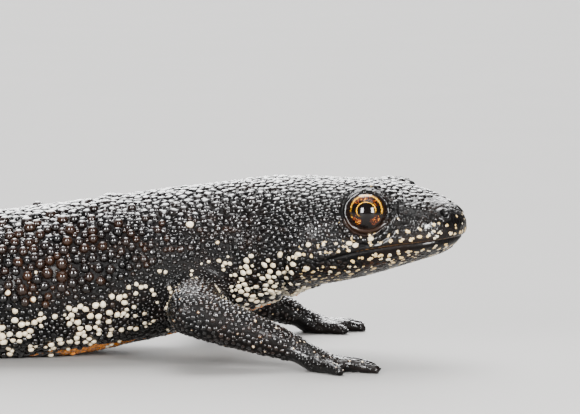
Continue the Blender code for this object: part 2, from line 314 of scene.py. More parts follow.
@dataclass(frozen=True)
class MoistSkin:
    """The finish of the skin and its warts, which read the same markings."""

    charcoal: tuple = (0.0013, 0.0012, 0.0012)
    slate: tuple = (0.0060, 0.0056, 0.0058)
    brown: tuple = (0.021, 0.0075, 0.0025)
    cream: tuple = (0.56, 0.49, 0.36)
    tan: tuple = (0.50, 0.35, 0.15)
    ochre: tuple = (0.20, 0.095, 0.030)
    orange: tuple = (0.62, 0.19, 0.012)
    wet: float = 0.14  # roughness of the smoothest skin
    damp: float = 0.34  # and of the roughest
    grain: float = 0.075  # depth of the fine relief
    patch_size: float = 2.6  # of the broad unevenness of the dark skin
    fine_size: float = 0.30  # of its fine unevenness
    blotch_size: float = 4.4  # of the belly's dark blotches
    fray_size: float = 0.24  # of the frayed edge of the cream
    film_roughness: float = 0.09  # of the film of water on the warts' tops
    film_ior: float = 1.45

    def material(self, name: str) -> bpy.types.Material:
        """Makes the material.

        Args:
            name: its name.

        Returns:
            The material.
        """
        recipe = Recipe(name)
        belly, fleck, brown, shine_and_gap_shade = recipe.marks()
        calm = recipe.number(CALM)
        patch = recipe.noise(self.patch_size, 3.0)
        fine = recipe.noise(self.fine_size, 3.0, 0.6)
        # The slate mottle and the brown show only where the film shines, so the colour is painted darker in
        # the gaps between the warts and at their bases: painted shade.
        mottle_and_gap_shade = (patch * 0.6 + fine * 0.6 - 0.1).step(0.35, 0.75) * shine_and_gap_shade
        dark = recipe.mix(mottle_and_gap_shade, self.charcoal, self.slate)
        dark = recipe.mix(brown * patch.step(0.30, 0.62) * shine_and_gap_shade.step(-0.4, 0.7), dark, self.brown)
        # The orange belly, broken by dark blotches.
        blotch = recipe.noise(self.blotch_size, 2.0, 0.45, 0.6)
        is_orange = (belly + (blotch - 0.5) * 2.6).step(-0.03, 0.03)
        warm = recipe.mix(fine.step(0.3, 0.8), self.orange, self.ochre)
        colour = recipe.mix(is_orange, dark, warm)
        # Cream on the tops of warts, with an ochre edge.
        ragged = fleck + (recipe.noise(self.fray_size, 2.0, 0.6) - 0.5) * 0.8
        rim = ragged.step(-0.40, -0.05)
        is_cream = ragged.step(-0.06, 0.12)
        colour = recipe.mix(rim * 0.5, colour, self.ochre)
        pale = recipe.mix(brown, self.cream, self.tan)
        colour = recipe.mix(is_cream * (0.75 + fine * 0.5), colour, pale)
        # Fine wrinkles, and a film of water that lies where the markings say.
        wrinkle = recipe.cells(0.30) * 0.5 + recipe.noise(0.15, 2.0) * 0.35 + recipe.noise(0.62, 1.0) * 0.4
        normal = recipe.bump(wrinkle * (1 - calm), self.grain)
        rough = self.wet + (self.damp - self.wet) * fine * (1 - calm * 0.55)
        rough = rough + is_cream * 0.12 + (1 - shine_and_gap_shade) * 0.25
        recipe.surface(Base_Color=colour, Roughness=rough, Normal=normal, IOR=1.34, Specular_IOR_Level=0.14)
        return recipe.surface(Coat_Weight=shine_and_gap_shade, Coat_IOR=self.film_ior, Coat_Roughness=self.film_roughness)


@dataclass(frozen=True)
class WetEye:
    """The finish of an eyeball: a gold-flecked iris under a clear, wet surface."""

    black: tuple = (0.003, 0.0022, 0.002)
    socket: tuple = (0.006, 0.003, 0.002)
    gold: tuple = (0.84, 0.40, 0.012)
    flame: tuple = (0.60, 0.11, 0.003)
    ember: tuple = (0.14, 0.022, 0.004)
    speck_size: float = 0.10  # of the iris' gold dust
    pupil: float = 0.465  # its radius as a share of the iris'

    def material(self, name: str) -> bpy.types.Material:
        """Makes the material, which reads the eye's own map: across and up, 1 at the iris' rim.

        Args:
            name: its name.

        Returns:
            The material.
        """
        recipe = Recipe(name)
        spot = recipe.value("ShaderNodeUVMap", {"uv_map": Eye.MAP}, {})
        split = recipe.node("ShaderNodeSeparateXYZ", {}, {0: spot})
        across, up = (Value(recipe, split.outputs[k]) * Eye.MAP_SPAN - Eye.MAP_SPAN / 2 for k in (0, 1))
        far = (across * across + up * up) ** 0.5 + 0.001
        oval = (across * across * 0.80 + up * up * 1.10) ** 0.5
        ray = recipe.value("ShaderNodeCombineXYZ", {}, {0: across / far, 1: up / far, 2: far * 1.5})
        streaks = {"Vector": ray, "Scale": 4.2, "Detail": 4.0, "Roughness": 0.72, "Distortion": 0.5}
        streak = recipe.value("ShaderNodeTexNoise", {}, streaks)
        speck = recipe.noise(self.speck_size, 3.0, 0.7)
        sector = (abs(up) / far).step(0.12, 0.62)
        band = far.step(0.55, 0.70) * far.step(1.0, 0.90)
        gap = (up * -1.0 / far).step(0.90, 1.0)
        glow = streak * 1.25 + speck * 0.6 + sector * 0.24 - gap * 0.35 - 1.28
        iris = recipe.mix(glow.step(-0.16, 0.06) * band, self.black, self.ember)
        iris = recipe.mix(glow.step(0.0, 0.16) * band, iris, self.flame)
        iris = recipe.mix((glow + speck * 0.4).step(0.21, 0.39) * band, iris, self.gold)
        # Two broken rings of gold, one round the pupil and one inside the iris' rim.
        wobble = (speck - 0.5) * 0.22
        rim = oval + wobble - self.pupil
        inner = rim.step(0.010, 0.030) * rim.step(0.075, 0.050) * (up + across * -0.25).step(-0.38, 0.12)
        inner = inner * (streak + speck * 0.6).step(0.50, 0.95)
        edge = far + wobble
        outer = edge.step(0.86, 0.91) * edge.step(0.99, 0.95)
        outer = outer * (streak + speck * 0.5 + up * 0.25).step(0.70, 0.88)
        iris = recipe.mix(outer * 0.6, iris, self.gold)
        iris = recipe.mix(inner, iris, self.gold)
        iris = recipe.mix(oval.step(self.pupil + 0.010, self.pupil - 0.010), iris, self.black)
        colour = recipe.mix(far.step(0.97, 1.03), iris, self.socket)
        return recipe.surface(Base_Color=colour, Roughness=0.08, IOR=1.38)


@dataclass(frozen=True)
class PaleFloor:
    """The finish of the studio's floor."""

    light: tuple = (0.205, 0.20, 0.193)
    shade: tuple = (0.192, 0.187, 0.18)

    def material(self, name: str) -> bpy.types.Material:
        """Makes the material.

        Args:
            name: its name.

        Returns:
            The material.
        """
        recipe = Recipe(name)
        colour = recipe.mix(recipe.noise(30.0, 3.0), self.light, self.shade)
        return recipe.surface(Base_Color=colour, Roughness=0.75, Specular_IOR_Level=0.25)


# ---------------------------------------------------------------- measuring the animal


def vertices_mm(mesh: bpy.types.Mesh) -> np.ndarray:
    """Reads a mesh's vertices.

    Args:
        mesh: the mesh.

    Returns:
        Their places in millimetres, one row each.
    """
    flat = np.empty(len(mesh.vertices) * 3, np.float32)
    mesh.vertices.foreach_get("co", flat)
    return flat.reshape(-1, 3).astype(float) / MM


def normals_of(mesh: bpy.types.Mesh) -> np.ndarray:
    """Reads a mesh's vertex normals.

    Args:
        mesh: the mesh.

    Returns:
        The normals, one row each.
    """
    flat = np.empty(len(mesh.vertices) * 3, np.float32)
    mesh.vertex_normals.foreach_get("vector", flat)
    return flat.reshape(-1, 3).astype(float)


def bell(x: np.ndarray, width: float) -> np.ndarray:
    """A smooth hump, 1 at 0 and nearly 0 beyond twice width."""
    return np.exp(-((x / width) ** 2))


def rise(x: np.ndarray, low: float, high: float) -> np.ndarray:
    """A smooth rise from 0 at low to 1 at high."""
    t = np.clip((x - low) / (high - low), 0, 1)
    return t * t * (3 - 2 * t)


def unit(rows: np.ndarray) -> np.ndarray:
    """Rows scaled to length 1."""
    return rows / np.maximum(np.linalg.norm(rows, axis=-1, keepdims=True), 1e-9)


class Anatomy:
    """Where things are on the animal, measured from the solids, in millimetres."""

    BIN = 1.5  # from one measured slice of the body to the next, and half the length of each
    RIDGE_SHARE = 0.25  # of the body's height, from the top, that gives its midline
    SPINE_WINDOW = 5  # how many slices are averaged into one
    MOUTH_GAP = 0.27  # between the jaws
    MOUTH_REACH = 11.0  # from the snout's tip to the last place where the jaw's top is measured
    JAW_STATION = 1.0  # from the snout's tip to the first, and from each to the next
    JAW_SLICE = 0.7  # half the length of the slice that is measured there
    ORBIT = 2.35  # from the middle of an eye to the outer edge of its lids
    NOSTRIL = (1.20, 1.85, 12.45)  # behind the snout's tip, aside, and height
    WET_SPOT = (2.5, 3.3, 11.6)  # between nostril and eye, given in the same way
    CHEEK_PIT = (4.0, 4.1, 11.7)  # before the eye

    def __init__(self, nodes: dict[str, bpy.types.Object]) -> None:
        """Measures the solids.

        Args:
            nodes: the solids by name.
        """
        self.nodes = nodes
        self.flesh = sorted(n for n in nodes if n not in EYES)
        self.eyes = {name: self.middle(name) for name in EYES}
        low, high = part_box(EYES[0])
        self.eye_radius = (high.z - low.z) / 2 / MM
        self._measure_head()
        self._measure_spine()
        self._index_solids()

    @staticmethod
    def middle(name: str) -> np.ndarray:
        """The middle of a node's box."""
        low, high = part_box(name)
        return np.array((low + high) / 2) / MM

    def _measure_head(self) -> None:
        """Finds the head's directions, its snout and the line of its mouth."""
        self.left = unit(self.eyes["eye_left"] - self.eyes["eye_right"])
        self.ahead = unit(np.cross(self.left, (0, 0, 1)))
        self.up = np.cross(self.ahead, self.left)
        self.between_eyes = (self.eyes["eye_left"] + self.eyes["eye_right"]) / 2
        head = vertices_mm(self.nodes["head"].data)
        self.snout_reach = ((head - self.between_eyes) @ self.ahead).max()
        jaw = self.to_head(vertices_mm(self.nodes["lower_jaw"].data))
        backs = np.arange(self.JAW_STATION, self.MOUTH_REACH, self.JAW_STATION)
        tops = [jaw[np.abs(jaw[:, 0] - back) < self.JAW_SLICE][:, 2].max() for back in backs]
        self.mouth = np.polyfit(backs, np.array(tops) + self.MOUTH_GAP, 3)

    def to_head(self, points: np.ndarray) -> np.ndarray:
        """Turns places into head coordinates.

        Args:
            points: the places, one row each.

        Returns:
            Distance behind the snout's tip, distance to the left, and height, one row each.
        """
        local = points - self.between_eyes
        back = self.snout_reach - local @ self.ahead
        return np.stack((back, local @ self.left, local @ self.up + self.between_eyes[2]), axis=1)

    def from_mark(self, head: np.ndarray, mark: tuple) -> np.ndarray:
        """How far places are from the nearer of a pair of marks.

        Args:
            head: head coordinates of the places.
            mark: head coordinates of the mark on the left side.

        Returns:
            Distances behind, aside and above, one row each.
        """
        return np.stack((head[:, 0] - mark[0], np.abs(head[:, 1]) - mark[1], head[:, 2] - mark[2]), axis=1)

    def mouth_height(self, back: np.ndarray) -> np.ndarray:
        """Height of the line of the mouth at this distance behind the snout's tip."""
        return np.polyval(self.mouth, np.clip(back, 0.6, self.MOUTH_REACH))

    def _measure_spine(self) -> None:
        """Makes tables of the body's midline, width, top and bottom along X."""
        points = np.concatenate([vertices_mm(self.nodes[n].data) for n in TRUNK])
        edges = np.arange(points[:, 0].min(), points[:, 0].max(), self.BIN)
        rows = []
        for edge in edges:
            near = points[np.abs(points[:, 0] - edge - self.BIN / 2) < self.BIN]
            top, bottom = near[:, 2].max(), near[:, 2].min()
            ridge = near[near[:, 2] > top - self.RIDGE_SHARE * (top - bottom)]
            middle = ridge[:, 1].mean()
            rows.append((edge + self.BIN / 2, middle, np.abs(near[:, 1] - middle).max(), top, bottom))
        table = np.array(rows)
        margin = self.SPINE_WINDOW // 2
        padded = np.pad(table[:, 1:], ((margin, margin), (0, 0)), mode="edge")
        shifted = [padded[k:k + len(table)] for k in range(self.SPINE_WINDOW)]
        table[:, 1:] = sum(shifted) / self.SPINE_WINDOW
        self.spine = table
        steps = np.hypot(np.diff(table[:, 0]), np.diff(table[:, 1]))
        self.travel = np.concatenate(([0.0], np.cumsum(steps)))

    def _index_solids(self) -> None:
        """Builds a tree that finds the solid nearest a point."""
        corners, faces, self.owner = [], [], []
        for number, name in enumerate(self.flesh):
            mesh = self.nodes[name].data
            start = len(corners)
            corners += [v.co / MM for v in mesh.vertices]
            faces += [[start + i for i in p.vertices] for p in mesh.polygons]
            self.owner += [number] * len(mesh.polygons)
        self.tree = BVHTree.FromPolygons(corners, faces)

    def owners(self, points: np.ndarray) -> np.ndarray:
        """The number in flesh of the solid nearest each point."""
        return np.array([self.owner[self.tree.find_nearest(Vector(p))[2]] for p in points])

    def numbers(self, names: tuple[str, ...]) -> list[int]:
        """The numbers in flesh of these solids, or of those whose names start so."""
        return [i for i, n in enumerate(self.flesh) if n.startswith(names)]


@dataclass
class Survey:
    """What is known of each place on the skin, one row or entry for each."""

    point: np.ndarray
    normal: np.ndarray
    owner: np.ndarray
    along: np.ndarray  # from the snout
    share: np.ndarray  # of the body's height, 0 on the belly and 1 on the back
    side: np.ndarray  # of the body's half width, 1 on the left
    head: np.ndarray  # head coordinates
    gape: np.ndarray  # height above the line of the mouth
    eye: np.ndarray  # distance from the nearer eye's middle
    nostril: np.ndarray  # distance from the nearer nostril

    @classmethod
    def of(cls, anatomy: Anatomy, point: np.ndarray, normal: np.ndarray, owner: np.ndarray) -> "Survey":
        """Surveys places on the skin.

        Args:
            anatomy: the measured animal.
            point: the places.
            normal: the skin's normals there.
            owner: the solids that they belong to.

        Returns:
            The survey.
        """
        spine = anatomy.spine
        x = point[:, 0]
        middle, half, top, bottom = (np.interp(x, spine[:, 0], spine[:, k]) for k in (1, 2, 3, 4))
        head = anatomy.to_head(point)
        gaps = [np.linalg.norm(point - centre, axis=1) for centre in anatomy.eyes.values()]
        return cls(point, normal, owner,
                   along=anatomy.travel[-1] - np.interp(x, spine[:, 0], anatomy.travel),
                   share=(point[:, 2] - bottom) / (top - bottom),
                   side=(point[:, 1] - middle) / half,
                   head=head,
                   gape=head[:, 2] - anatomy.mouth_height(head[:, 0]),
                   eye=np.minimum(*gaps),
                   nostril=np.linalg.norm(anatomy.from_mark(head, anatomy.NOSTRIL), axis=1))

    def among(self, anatomy: Anatomy, names: tuple[str, ...]) -> np.ndarray:
        """Which places belong to solids whose names start so."""
        return np.isin(self.owner, anatomy.numbers(names))

    def on_left(self, anatomy: Anatomy) -> np.ndarray:
        """Which places lie on the animal's own left side."""
        return np.where(self.among(anatomy, FACE), self.head[:, 1], self.side) >= 0

    def at(self, rows: np.ndarray) -> "Survey":
        """The survey of some of the places."""
        return Survey(*(getattr(self, name)[rows] for name in self.__dataclass_fields__))


# ---------------------------------------------------------------- skin


@dataclass(frozen=True)
class Skin:
    """One closed skin over all the solids, with lids, lips, nostrils and folds worked into it."""

    anatomy: Anatomy
    swell: float = 0.22  # closes the cuts between the solids before they are melted together
    corner_limit: float = 1.6  # largest factor on the swelling at sharp corners
    voxel: float = 0.362  # size of the cells that they are melted in
    soften: int = 5  # rounds of smoothing
    inset: float = 0.16  # how far the skin lies inside the solids, under its warts
    head_inset: float = 0.08
    limb_outset: float = 0.02  # how far it lies outside them on the legs
    hand_outset: float = 0.12
    refined_to: float = 19.5  # distance from the snout up to which the skin is finer
    creases: tuple = ((18.6, 0.16, 0.2), (20.3, 0.24, 0.25), (21.6, 0.14, 0.4))  # place, depth, lowest share
    rib_spacing: float = 3.5
    step_place: float = 33.4  # distance from the snout to the low step in the back
    lid_half_angles: tuple = (65, 55)  # of the eye's opening, sideways and upright
    lid_thickness: float = 0.13
    lid_fold: float = 0.035  # height of the fine folds round the lids
    lid_fold_spacing: float = 5.5  # degrees, seen from the middle of the eye
    tuck: float = 0.42  # how far inside the solid of the eye the skin runs on behind the lids
    eye_turn: float = 17  # how far the eyes look ahead of sideways
    eye_rise: float = 15

    def build(self) -> tuple[bpy.types.Object, Survey]:
        """Makes the skin.

        Returns:
            The skin's object, without a material, and a survey of its vertices.
        """
        bm = self._melted()
        self._refine(bm, lambda p: self.anatomy.to_head(p)[:, 0] < self.refined_to, 3)
        self._refine(bm, self._detailed, 2)
        mesh = mesh_from(bm, "skin")
        mesh.shade_smooth()
        point, normal = vertices_mm(mesh), normals_of(mesh)
        owner = self.anatomy.owners(point)
        survey = Survey.of(self.anatomy, point, normal, owner)
        point = point + normal * self._relief(survey)[:, None]
        for name in EYES:
            point = self._open_lids(point, name)
        point[:, 2] = np.maximum(point[:, 2], 0)
        mesh.vertices.foreach_set("co", (point * MM).ravel())
        mesh.update()
        return put_in_scene("skin", mesh), Survey.of(self.anatomy, point, normals_of(mesh), owner)

    def _melted(self) -> bmesh.types.BMesh:
        """Joins swollen copies of the solids and melts them into one surface.

        Returns:
            The surface, with the swelling taken back.
        """
        bm = bmesh.new()
        for node in self.anatomy.nodes.values():
            part = bmesh.new()
            part.from_mesh(node.data)
            bmesh.ops.remove_doubles(part, verts=part.verts, dist=1e-7)
            part.normal_update()
            for vert in part.verts:
                vert.co += vert.normal * self.swell * MM * min(vert.calc_shell_factor(), self.corner_limit)
            loose = mesh_from(part, "part")
            bm.from_mesh(loose)
            bpy.data.meshes.remove(loose)
        body = put_in_scene("melted", mesh_from(bm, "melted"))
        melt = body.modifiers.new("melt", "REMESH")
        melt.mode = "VOXEL"
        melt.voxel_size = self.voxel * MM
        smooth = body.modifiers.new("smooth", "SMOOTH")
        smooth.iterations = self.soften
        graph = bpy.context.evaluated_depsgraph_get()
        done = bpy.data.meshes.new_from_object(body.evaluated_get(graph))
        bpy.data.objects.remove(body)
        self._draw_in(done)
        made = bmesh.new()
        made.from_mesh(done)
        bpy.data.meshes.remove(done)
        return made

    def _draw_in(self, mesh: bpy.types.Mesh) -> None:
        """Takes the swelling back, a little more or less from one stretch to the next.

        Args:
            mesh: the melted surface.
        """
        point, normal = vertices_mm(mesh), normals_of(mesh)
        owner = self.anatomy.owners(point)
        is_head = np.isin(owner, self.anatomy.numbers(HEAD))
        is_limb = ~np.isin(owner, self.anatomy.numbers(TRUNK))
        is_hand = np.isin(owner, self.anatomy.numbers(HANDS))
        depths = [self.swell - self.hand_outset, self.swell - self.limb_outset, self.swell + self.head_inset]
        depth = np.select([is_hand, is_limb, is_head], depths, self.swell + self.inset)
        is_under = normal[:, 2] < -0.6
        depth = np.where(is_under, self.swell * rise(point[:, 2], -0.3, 1.2), depth)
        point -= normal * depth[:, None]
        point[:, 2] = np.maximum(point[:, 2], 0)
        mesh.vertices.foreach_set("co", (point * MM).ravel())

    @staticmethod
    def _refine(bm: bmesh.types.BMesh, wanted: Callable[[np.ndarray], np.ndarray], rounds: int) -> None:
        """Halves the faces in a part of the skin.

        Args:
            bm: the skin.
            wanted: takes places, one row each, and says which are to be finer.
            rounds: how often the finer part is smoothed.
        """
        places = np.array([face.calc_center_median() for face in bm.faces]) / MM
        chosen = wanted(places)
        edges = {edge for face, pick in zip(bm.faces, chosen) if pick for edge in face.edges}
        bmesh.ops.subdivide_edges(bm, edges=list(edges), cuts=1, use_grid_fill=True)
        places = np.array([vert.co for vert in bm.verts]) / MM
        verts = [vert for vert, pick in zip(bm.verts, wanted(places)) if pick]
        axes = {"use_axis_x": True, "use_axis_y": True, "use_axis_z": True}
        for _ in range(rounds):
            bmesh.ops.smooth_vert(bm, verts=verts, factor=0.5, **axes)

    def _detailed(self, places: np.ndarray) -> np.ndarray:
        """Which places are near the mouth, an eye or a nostril.

        Args:
            places: places on the skin, one row each.

        Returns:
            Whether each is.
        """
        head = self.anatomy.to_head(places)
        gape = head[:, 2] - self.anatomy.mouth_height(head[:, 0])
        lips = (head[:, 0] < 11.6) & (np.abs(gape) < 0.75)
        eyes = [np.linalg.norm(places - centre, axis=1) < 2.75 for centre in self.anatomy.eyes.values()]
        outer = np.abs(head[:, 1]) > 3.2
        nostrils = np.linalg.norm(self.anatomy.from_mark(head, self.anatomy.NOSTRIL), axis=1) < 0.9
        return lips | ((eyes[0] | eyes[1]) & outer) | nostrils

    def _relief(self, s: Survey) -> np.ndarray:
        """How far each place rises along its normal, or sinks."""
        return self._relief_of_head(s) + self._relief_of_torso(s)

    def _relief_of_head(self, s: Survey) -> np.ndarray:
        """Works out the relief of the mouth, nostrils, cheek pits, lids and throat.

        Args:
            s: a survey of the places.

        Returns:
            How far each rises.
        """
        back, _, height = s.head.T
        mouth = rise(-back, -11.4, -7.4)
        throat = rise(-s.share, -0.62, -0.30)
        above_eye = rise(-height, -14.0, -12.8)
        under_eye = rise(-height, -12.6, -11.6)
        pit = self.anatomy.from_mark(s.head, self.anatomy.CHEEK_PIT) * (0.8, 1.0, 2.6)
        folds = (  # height, distance from the middle of the fold, its width, and where it is
            (-0.17, s.gape, 0.10, mouth),
            (0.05, s.gape - 0.42, 0.3, mouth),
            (0.03, s.gape + 0.40, 0.3, mouth),
            (-0.65, s.nostril, 0.24, 1),
            (0.15, s.nostril - 0.46, 0.14, 1),
            (-0.28, np.linalg.norm(pit, axis=1), 0.5, 1),
            (-0.16, s.eye - 2.20, 0.12, 1),
            (0.07, s.eye - 2.50, 0.16, above_eye),
            (-0.13, s.eye - 2.82, 0.12, under_eye),
            (-0.34, s.along - 16.4, 0.32, throat),
            (0.16, s.along - 15.6, 0.6, throat),
        )
        total = sum(tall * bell(gap, width) * where for tall, gap, width, where in folds)
        total -= 0.10 * mouth * rise(-s.gape, -0.1, 0.1) * rise(s.gape, -1.6, -0.6)
        return total * s.among(self.anatomy, HEAD)

    def _relief_of_torso(self, s: Survey) -> np.ndarray:
        """Works out the relief of the neck's creases, the ribs and the step in the back.

        Args:
            s: a survey of the places.

        Returns:
            How far each rises.
        """
        total = np.zeros(len(s.share))
        for place, depth, low in self.creases:
            sway = 0.5 * np.sin(s.share * 5 + place)
            reach = rise(s.share, low, low + 0.2) * rise(-s.share, -0.95, -0.75)
            total -= depth * bell(s.along - place - sway, 0.3) * reach
        ribs = np.cos((s.along - 29.0) / self.rib_spacing * math.tau + s.share * 0.8)
        total += 0.10 * ribs * rise(s.along, 27, 30) * rise(-s.along, -66, -62) * bell(s.share - 0.5, 0.33)
        step = s.along - self.step_place
        total += (0.17 * bell(step + 1.0, 0.9) - 0.13 * bell(step - 0.1, 0.4)) * rise(s.share, 0.6, 0.95)
        return total * s.among(self.anatomy, ("neck", *BODY))

    def look(self, name: str) -> np.ndarray:
        """Works out where an eye looks.

        Args:
            name: of the eye.

        Returns:
            The direction.
        """
        out = self.anatomy.left * (1 if name == "eye_left" else -1)
        turn, lift = math.radians(self.eye_turn), math.radians(self.eye_rise)
        level = out * math.cos(turn) + self.anatomy.ahead * math.sin(turn)
        return unit(level * math.cos(lift) + self.anatomy.up * math.sin(lift))

    def _open_lids(self, point: np.ndarray, name: str) -> np.ndarray:
        """Draws the skin over an eyeball and opens the lids round it.

        Args:
            point: the skin's vertices.
            name: of the eye.

        Returns:
            The vertices moved.
        """
        centre, axis = self.anatomy.eyes[name], self.look(name)
        ahead = unit(self.anatomy.ahead - axis * (self.anatomy.ahead @ axis))
        up = np.cross(axis, ahead) * (1 if np.cross(axis, ahead)[2] > 0 else -1)
        spoke = point - centre
        far = np.linalg.norm(spoke, axis=1)
        ray = spoke / np.maximum(far, 1e-6)[:, None]
        angle = np.degrees(np.arccos(np.clip(ray @ axis, -1, 1)))
        round_x, round_y = ray @ ahead, ray @ up
        reach = np.hypot(round_x, round_y) + 1e-9
        wide, tall = self.lid_half_angles
        rim = 1 / np.sqrt((round_x / reach / wide) ** 2 + (round_y / reach / tall) ** 2)
        radius = self.anatomy.eye_radius
        beyond = angle - rim
        lid = radius + self.lid_thickness * (0.62 + 0.38 * bell(beyond - 4.5, 4.0))
        folds = np.cos(beyond / self.lid_fold_spacing * math.tau)
        lid += self.lid_fold * folds * rise(beyond, 6, 9) * rise(-beyond, -26, -18)
        hidden = radius - self.tuck
        shaped = hidden + (lid - hidden) * rise(beyond, -6, 1)
        hold = (1 - rise(far, radius + 0.15, radius + 0.55)) * (1 - rise(angle, 80, 100))
        return centre + ray * (far + (shaped - far) * hold)[:, None]


# ---------------------------------------------------------------- warts


class Region(Enum):
    """Stretches of skin whose warts are alike."""

    BARE = 0
    BACK = 1
    FLANK = 2
    LOWER_FLANK = 3
    BELLY = 4
    CROWN = 5
    TEMPLE = 6
    SNOUT = 7
    THROAT = 8
    CHIN = 9
    LIMB = 10
    HAND = 11
    TAIL = 12
    NAPE = 13
    SHOULDER = 14
    LIP = 15
    CHEEK = 16
    LID = 17


class Dome(Enum):
    """Outlines of a wart from its rim to its top, as (share of the radius, share of the height)."""

    BEAD = ((0.90, -0.42), (1.0, 0.05), (0.90, 0.46), (0.66, 0.78), (0.34, 0.95))
    SCALE = ((1.14, -0.32), (0.98, 0.26), (0.80, 0.68), (0.48, 0.94))
    GRAIN = ((1.04, -0.35), (0.72, 0.60))


@dataclass(frozen=True)
class WartMix:
    """The warts of one region.

    widths are the smallest and largest, bias over 1 favours small ones, height is a share of the width,
    stretch is length over width, cream is the share of the larger ones that are cream, tip is how far up a
    wart its cream starts, pack is the share of their widths that two warts' middles keep apart, ragged is
    the unevenness of their surface as a share of the width, and film is how wet their tops shine.
    """

    widths: tuple[float, float]
    bias: float
    height: float
    stretch: float = 1.0
    cream: float = 0.0
    tip: float = 0.30
    brown: float = 0.2
    flat: bool = False
    pack: float = 0.46
    ragged: float = 0.025
    # the film also lifts the warts' colour from charcoal, so where it thins towards the rim the base is
    # painted darker, as shade
    film: float = 1.0


MIXES = {
    Region.BACK: WartMix((0.34, 0.86), 1.2, 0.25, 1.25, brown=0.15, flat=True, pack=0.42),
    Region.NAPE: WartMix((0.30, 0.78), 1.2, 0.25, 1.2, brown=0.15, flat=True, pack=0.42),
    Region.FLANK: WartMix((0.24, 0.94), 1.0, 0.50, cream=0.15, tip=0.78, brown=0.9, pack=0.41,
                          ragged=0.006),
    Region.LOWER_FLANK: WartMix((0.20, 0.58), 1.3, 0.44, 1.1, cream=0.66, tip=0.20, brown=0.35,
                                pack=0.43),
    Region.BELLY: WartMix((0.30, 0.62), 1.2, 0.10, 1.1, brown=0.1, flat=True),
    Region.CROWN: WartMix((0.26, 0.66), 1.0, 0.24, 1.15, brown=0.1, flat=True, pack=0.43,
                          ragged=0.018, film=0.75),
    Region.TEMPLE: WartMix((0.20, 0.54), 1.3, 0.27, 1.25, cream=0.03, tip=0.7, brown=0.35,
                           flat=True, pack=0.42),
    Region.CHEEK: WartMix((0.18, 0.42), 1.5, 0.11, 1.2, brown=0.3, flat=True, pack=0.43,
                          ragged=0.015, film=0.6),
    Region.SNOUT: WartMix((0.18, 0.40), 1.2, 0.06, 1.1, brown=0.25, flat=True, pack=0.42,
                          ragged=0.012, film=0.45),
    Region.THROAT: WartMix((0.20, 0.54), 1.3, 0.36, 1.2, cream=0.72, tip=0.22, brown=0.3, pack=0.49),
    Region.LID: WartMix((0.18, 0.40), 1.2, 0.13, 1.1, brown=0.3, flat=True, pack=0.42, film=0.35),
    Region.CHIN: WartMix((0.18, 0.40), 1.1, 0.12, 1.1, cream=0.14, brown=1.0, flat=True, film=0.5),
    Region.SHOULDER: WartMix((0.20, 0.62), 1.2, 0.34, 1.15, cream=0.07, tip=0.6, brown=0.5, pack=0.39),
    Region.LIMB: WartMix((0.19, 0.46), 1.2, 0.22, 1.15, cream=0.09, tip=0.84, brown=0.5),
    Region.HAND: WartMix((0.18, 0.30), 1.3, 0.16, 1.1, cream=0.1, tip=0.8, brown=0.2, flat=True),
    Region.TAIL: WartMix((0.26, 0.66), 1.3, 0.24, 1.25, cream=0.05, tip=0.6, brown=0.3),
    Region.LIP: WartMix((0.13, 0.27), 1.0, 0.09, 1.2, cream=1.0, tip=-0.7, brown=2.0, flat=True,
                        pack=0.0),
}
# Warts are thinned out in classes, largest first. These are the widths between one class and the next.
SIZES = (9.0, 1.0, 0.84, 0.70, 0.58, 0.47, 0.37, 0.29, 0.22, 0.15)


def of_mix(region: np.ndarray, name: str) -> np.ndarray:
    """One value of each wart's mix, by the name of its field."""
    values = {kind.value: getattr(mix, name) for kind, mix in MIXES.items()}
    return np.array([values[r] for r in region])


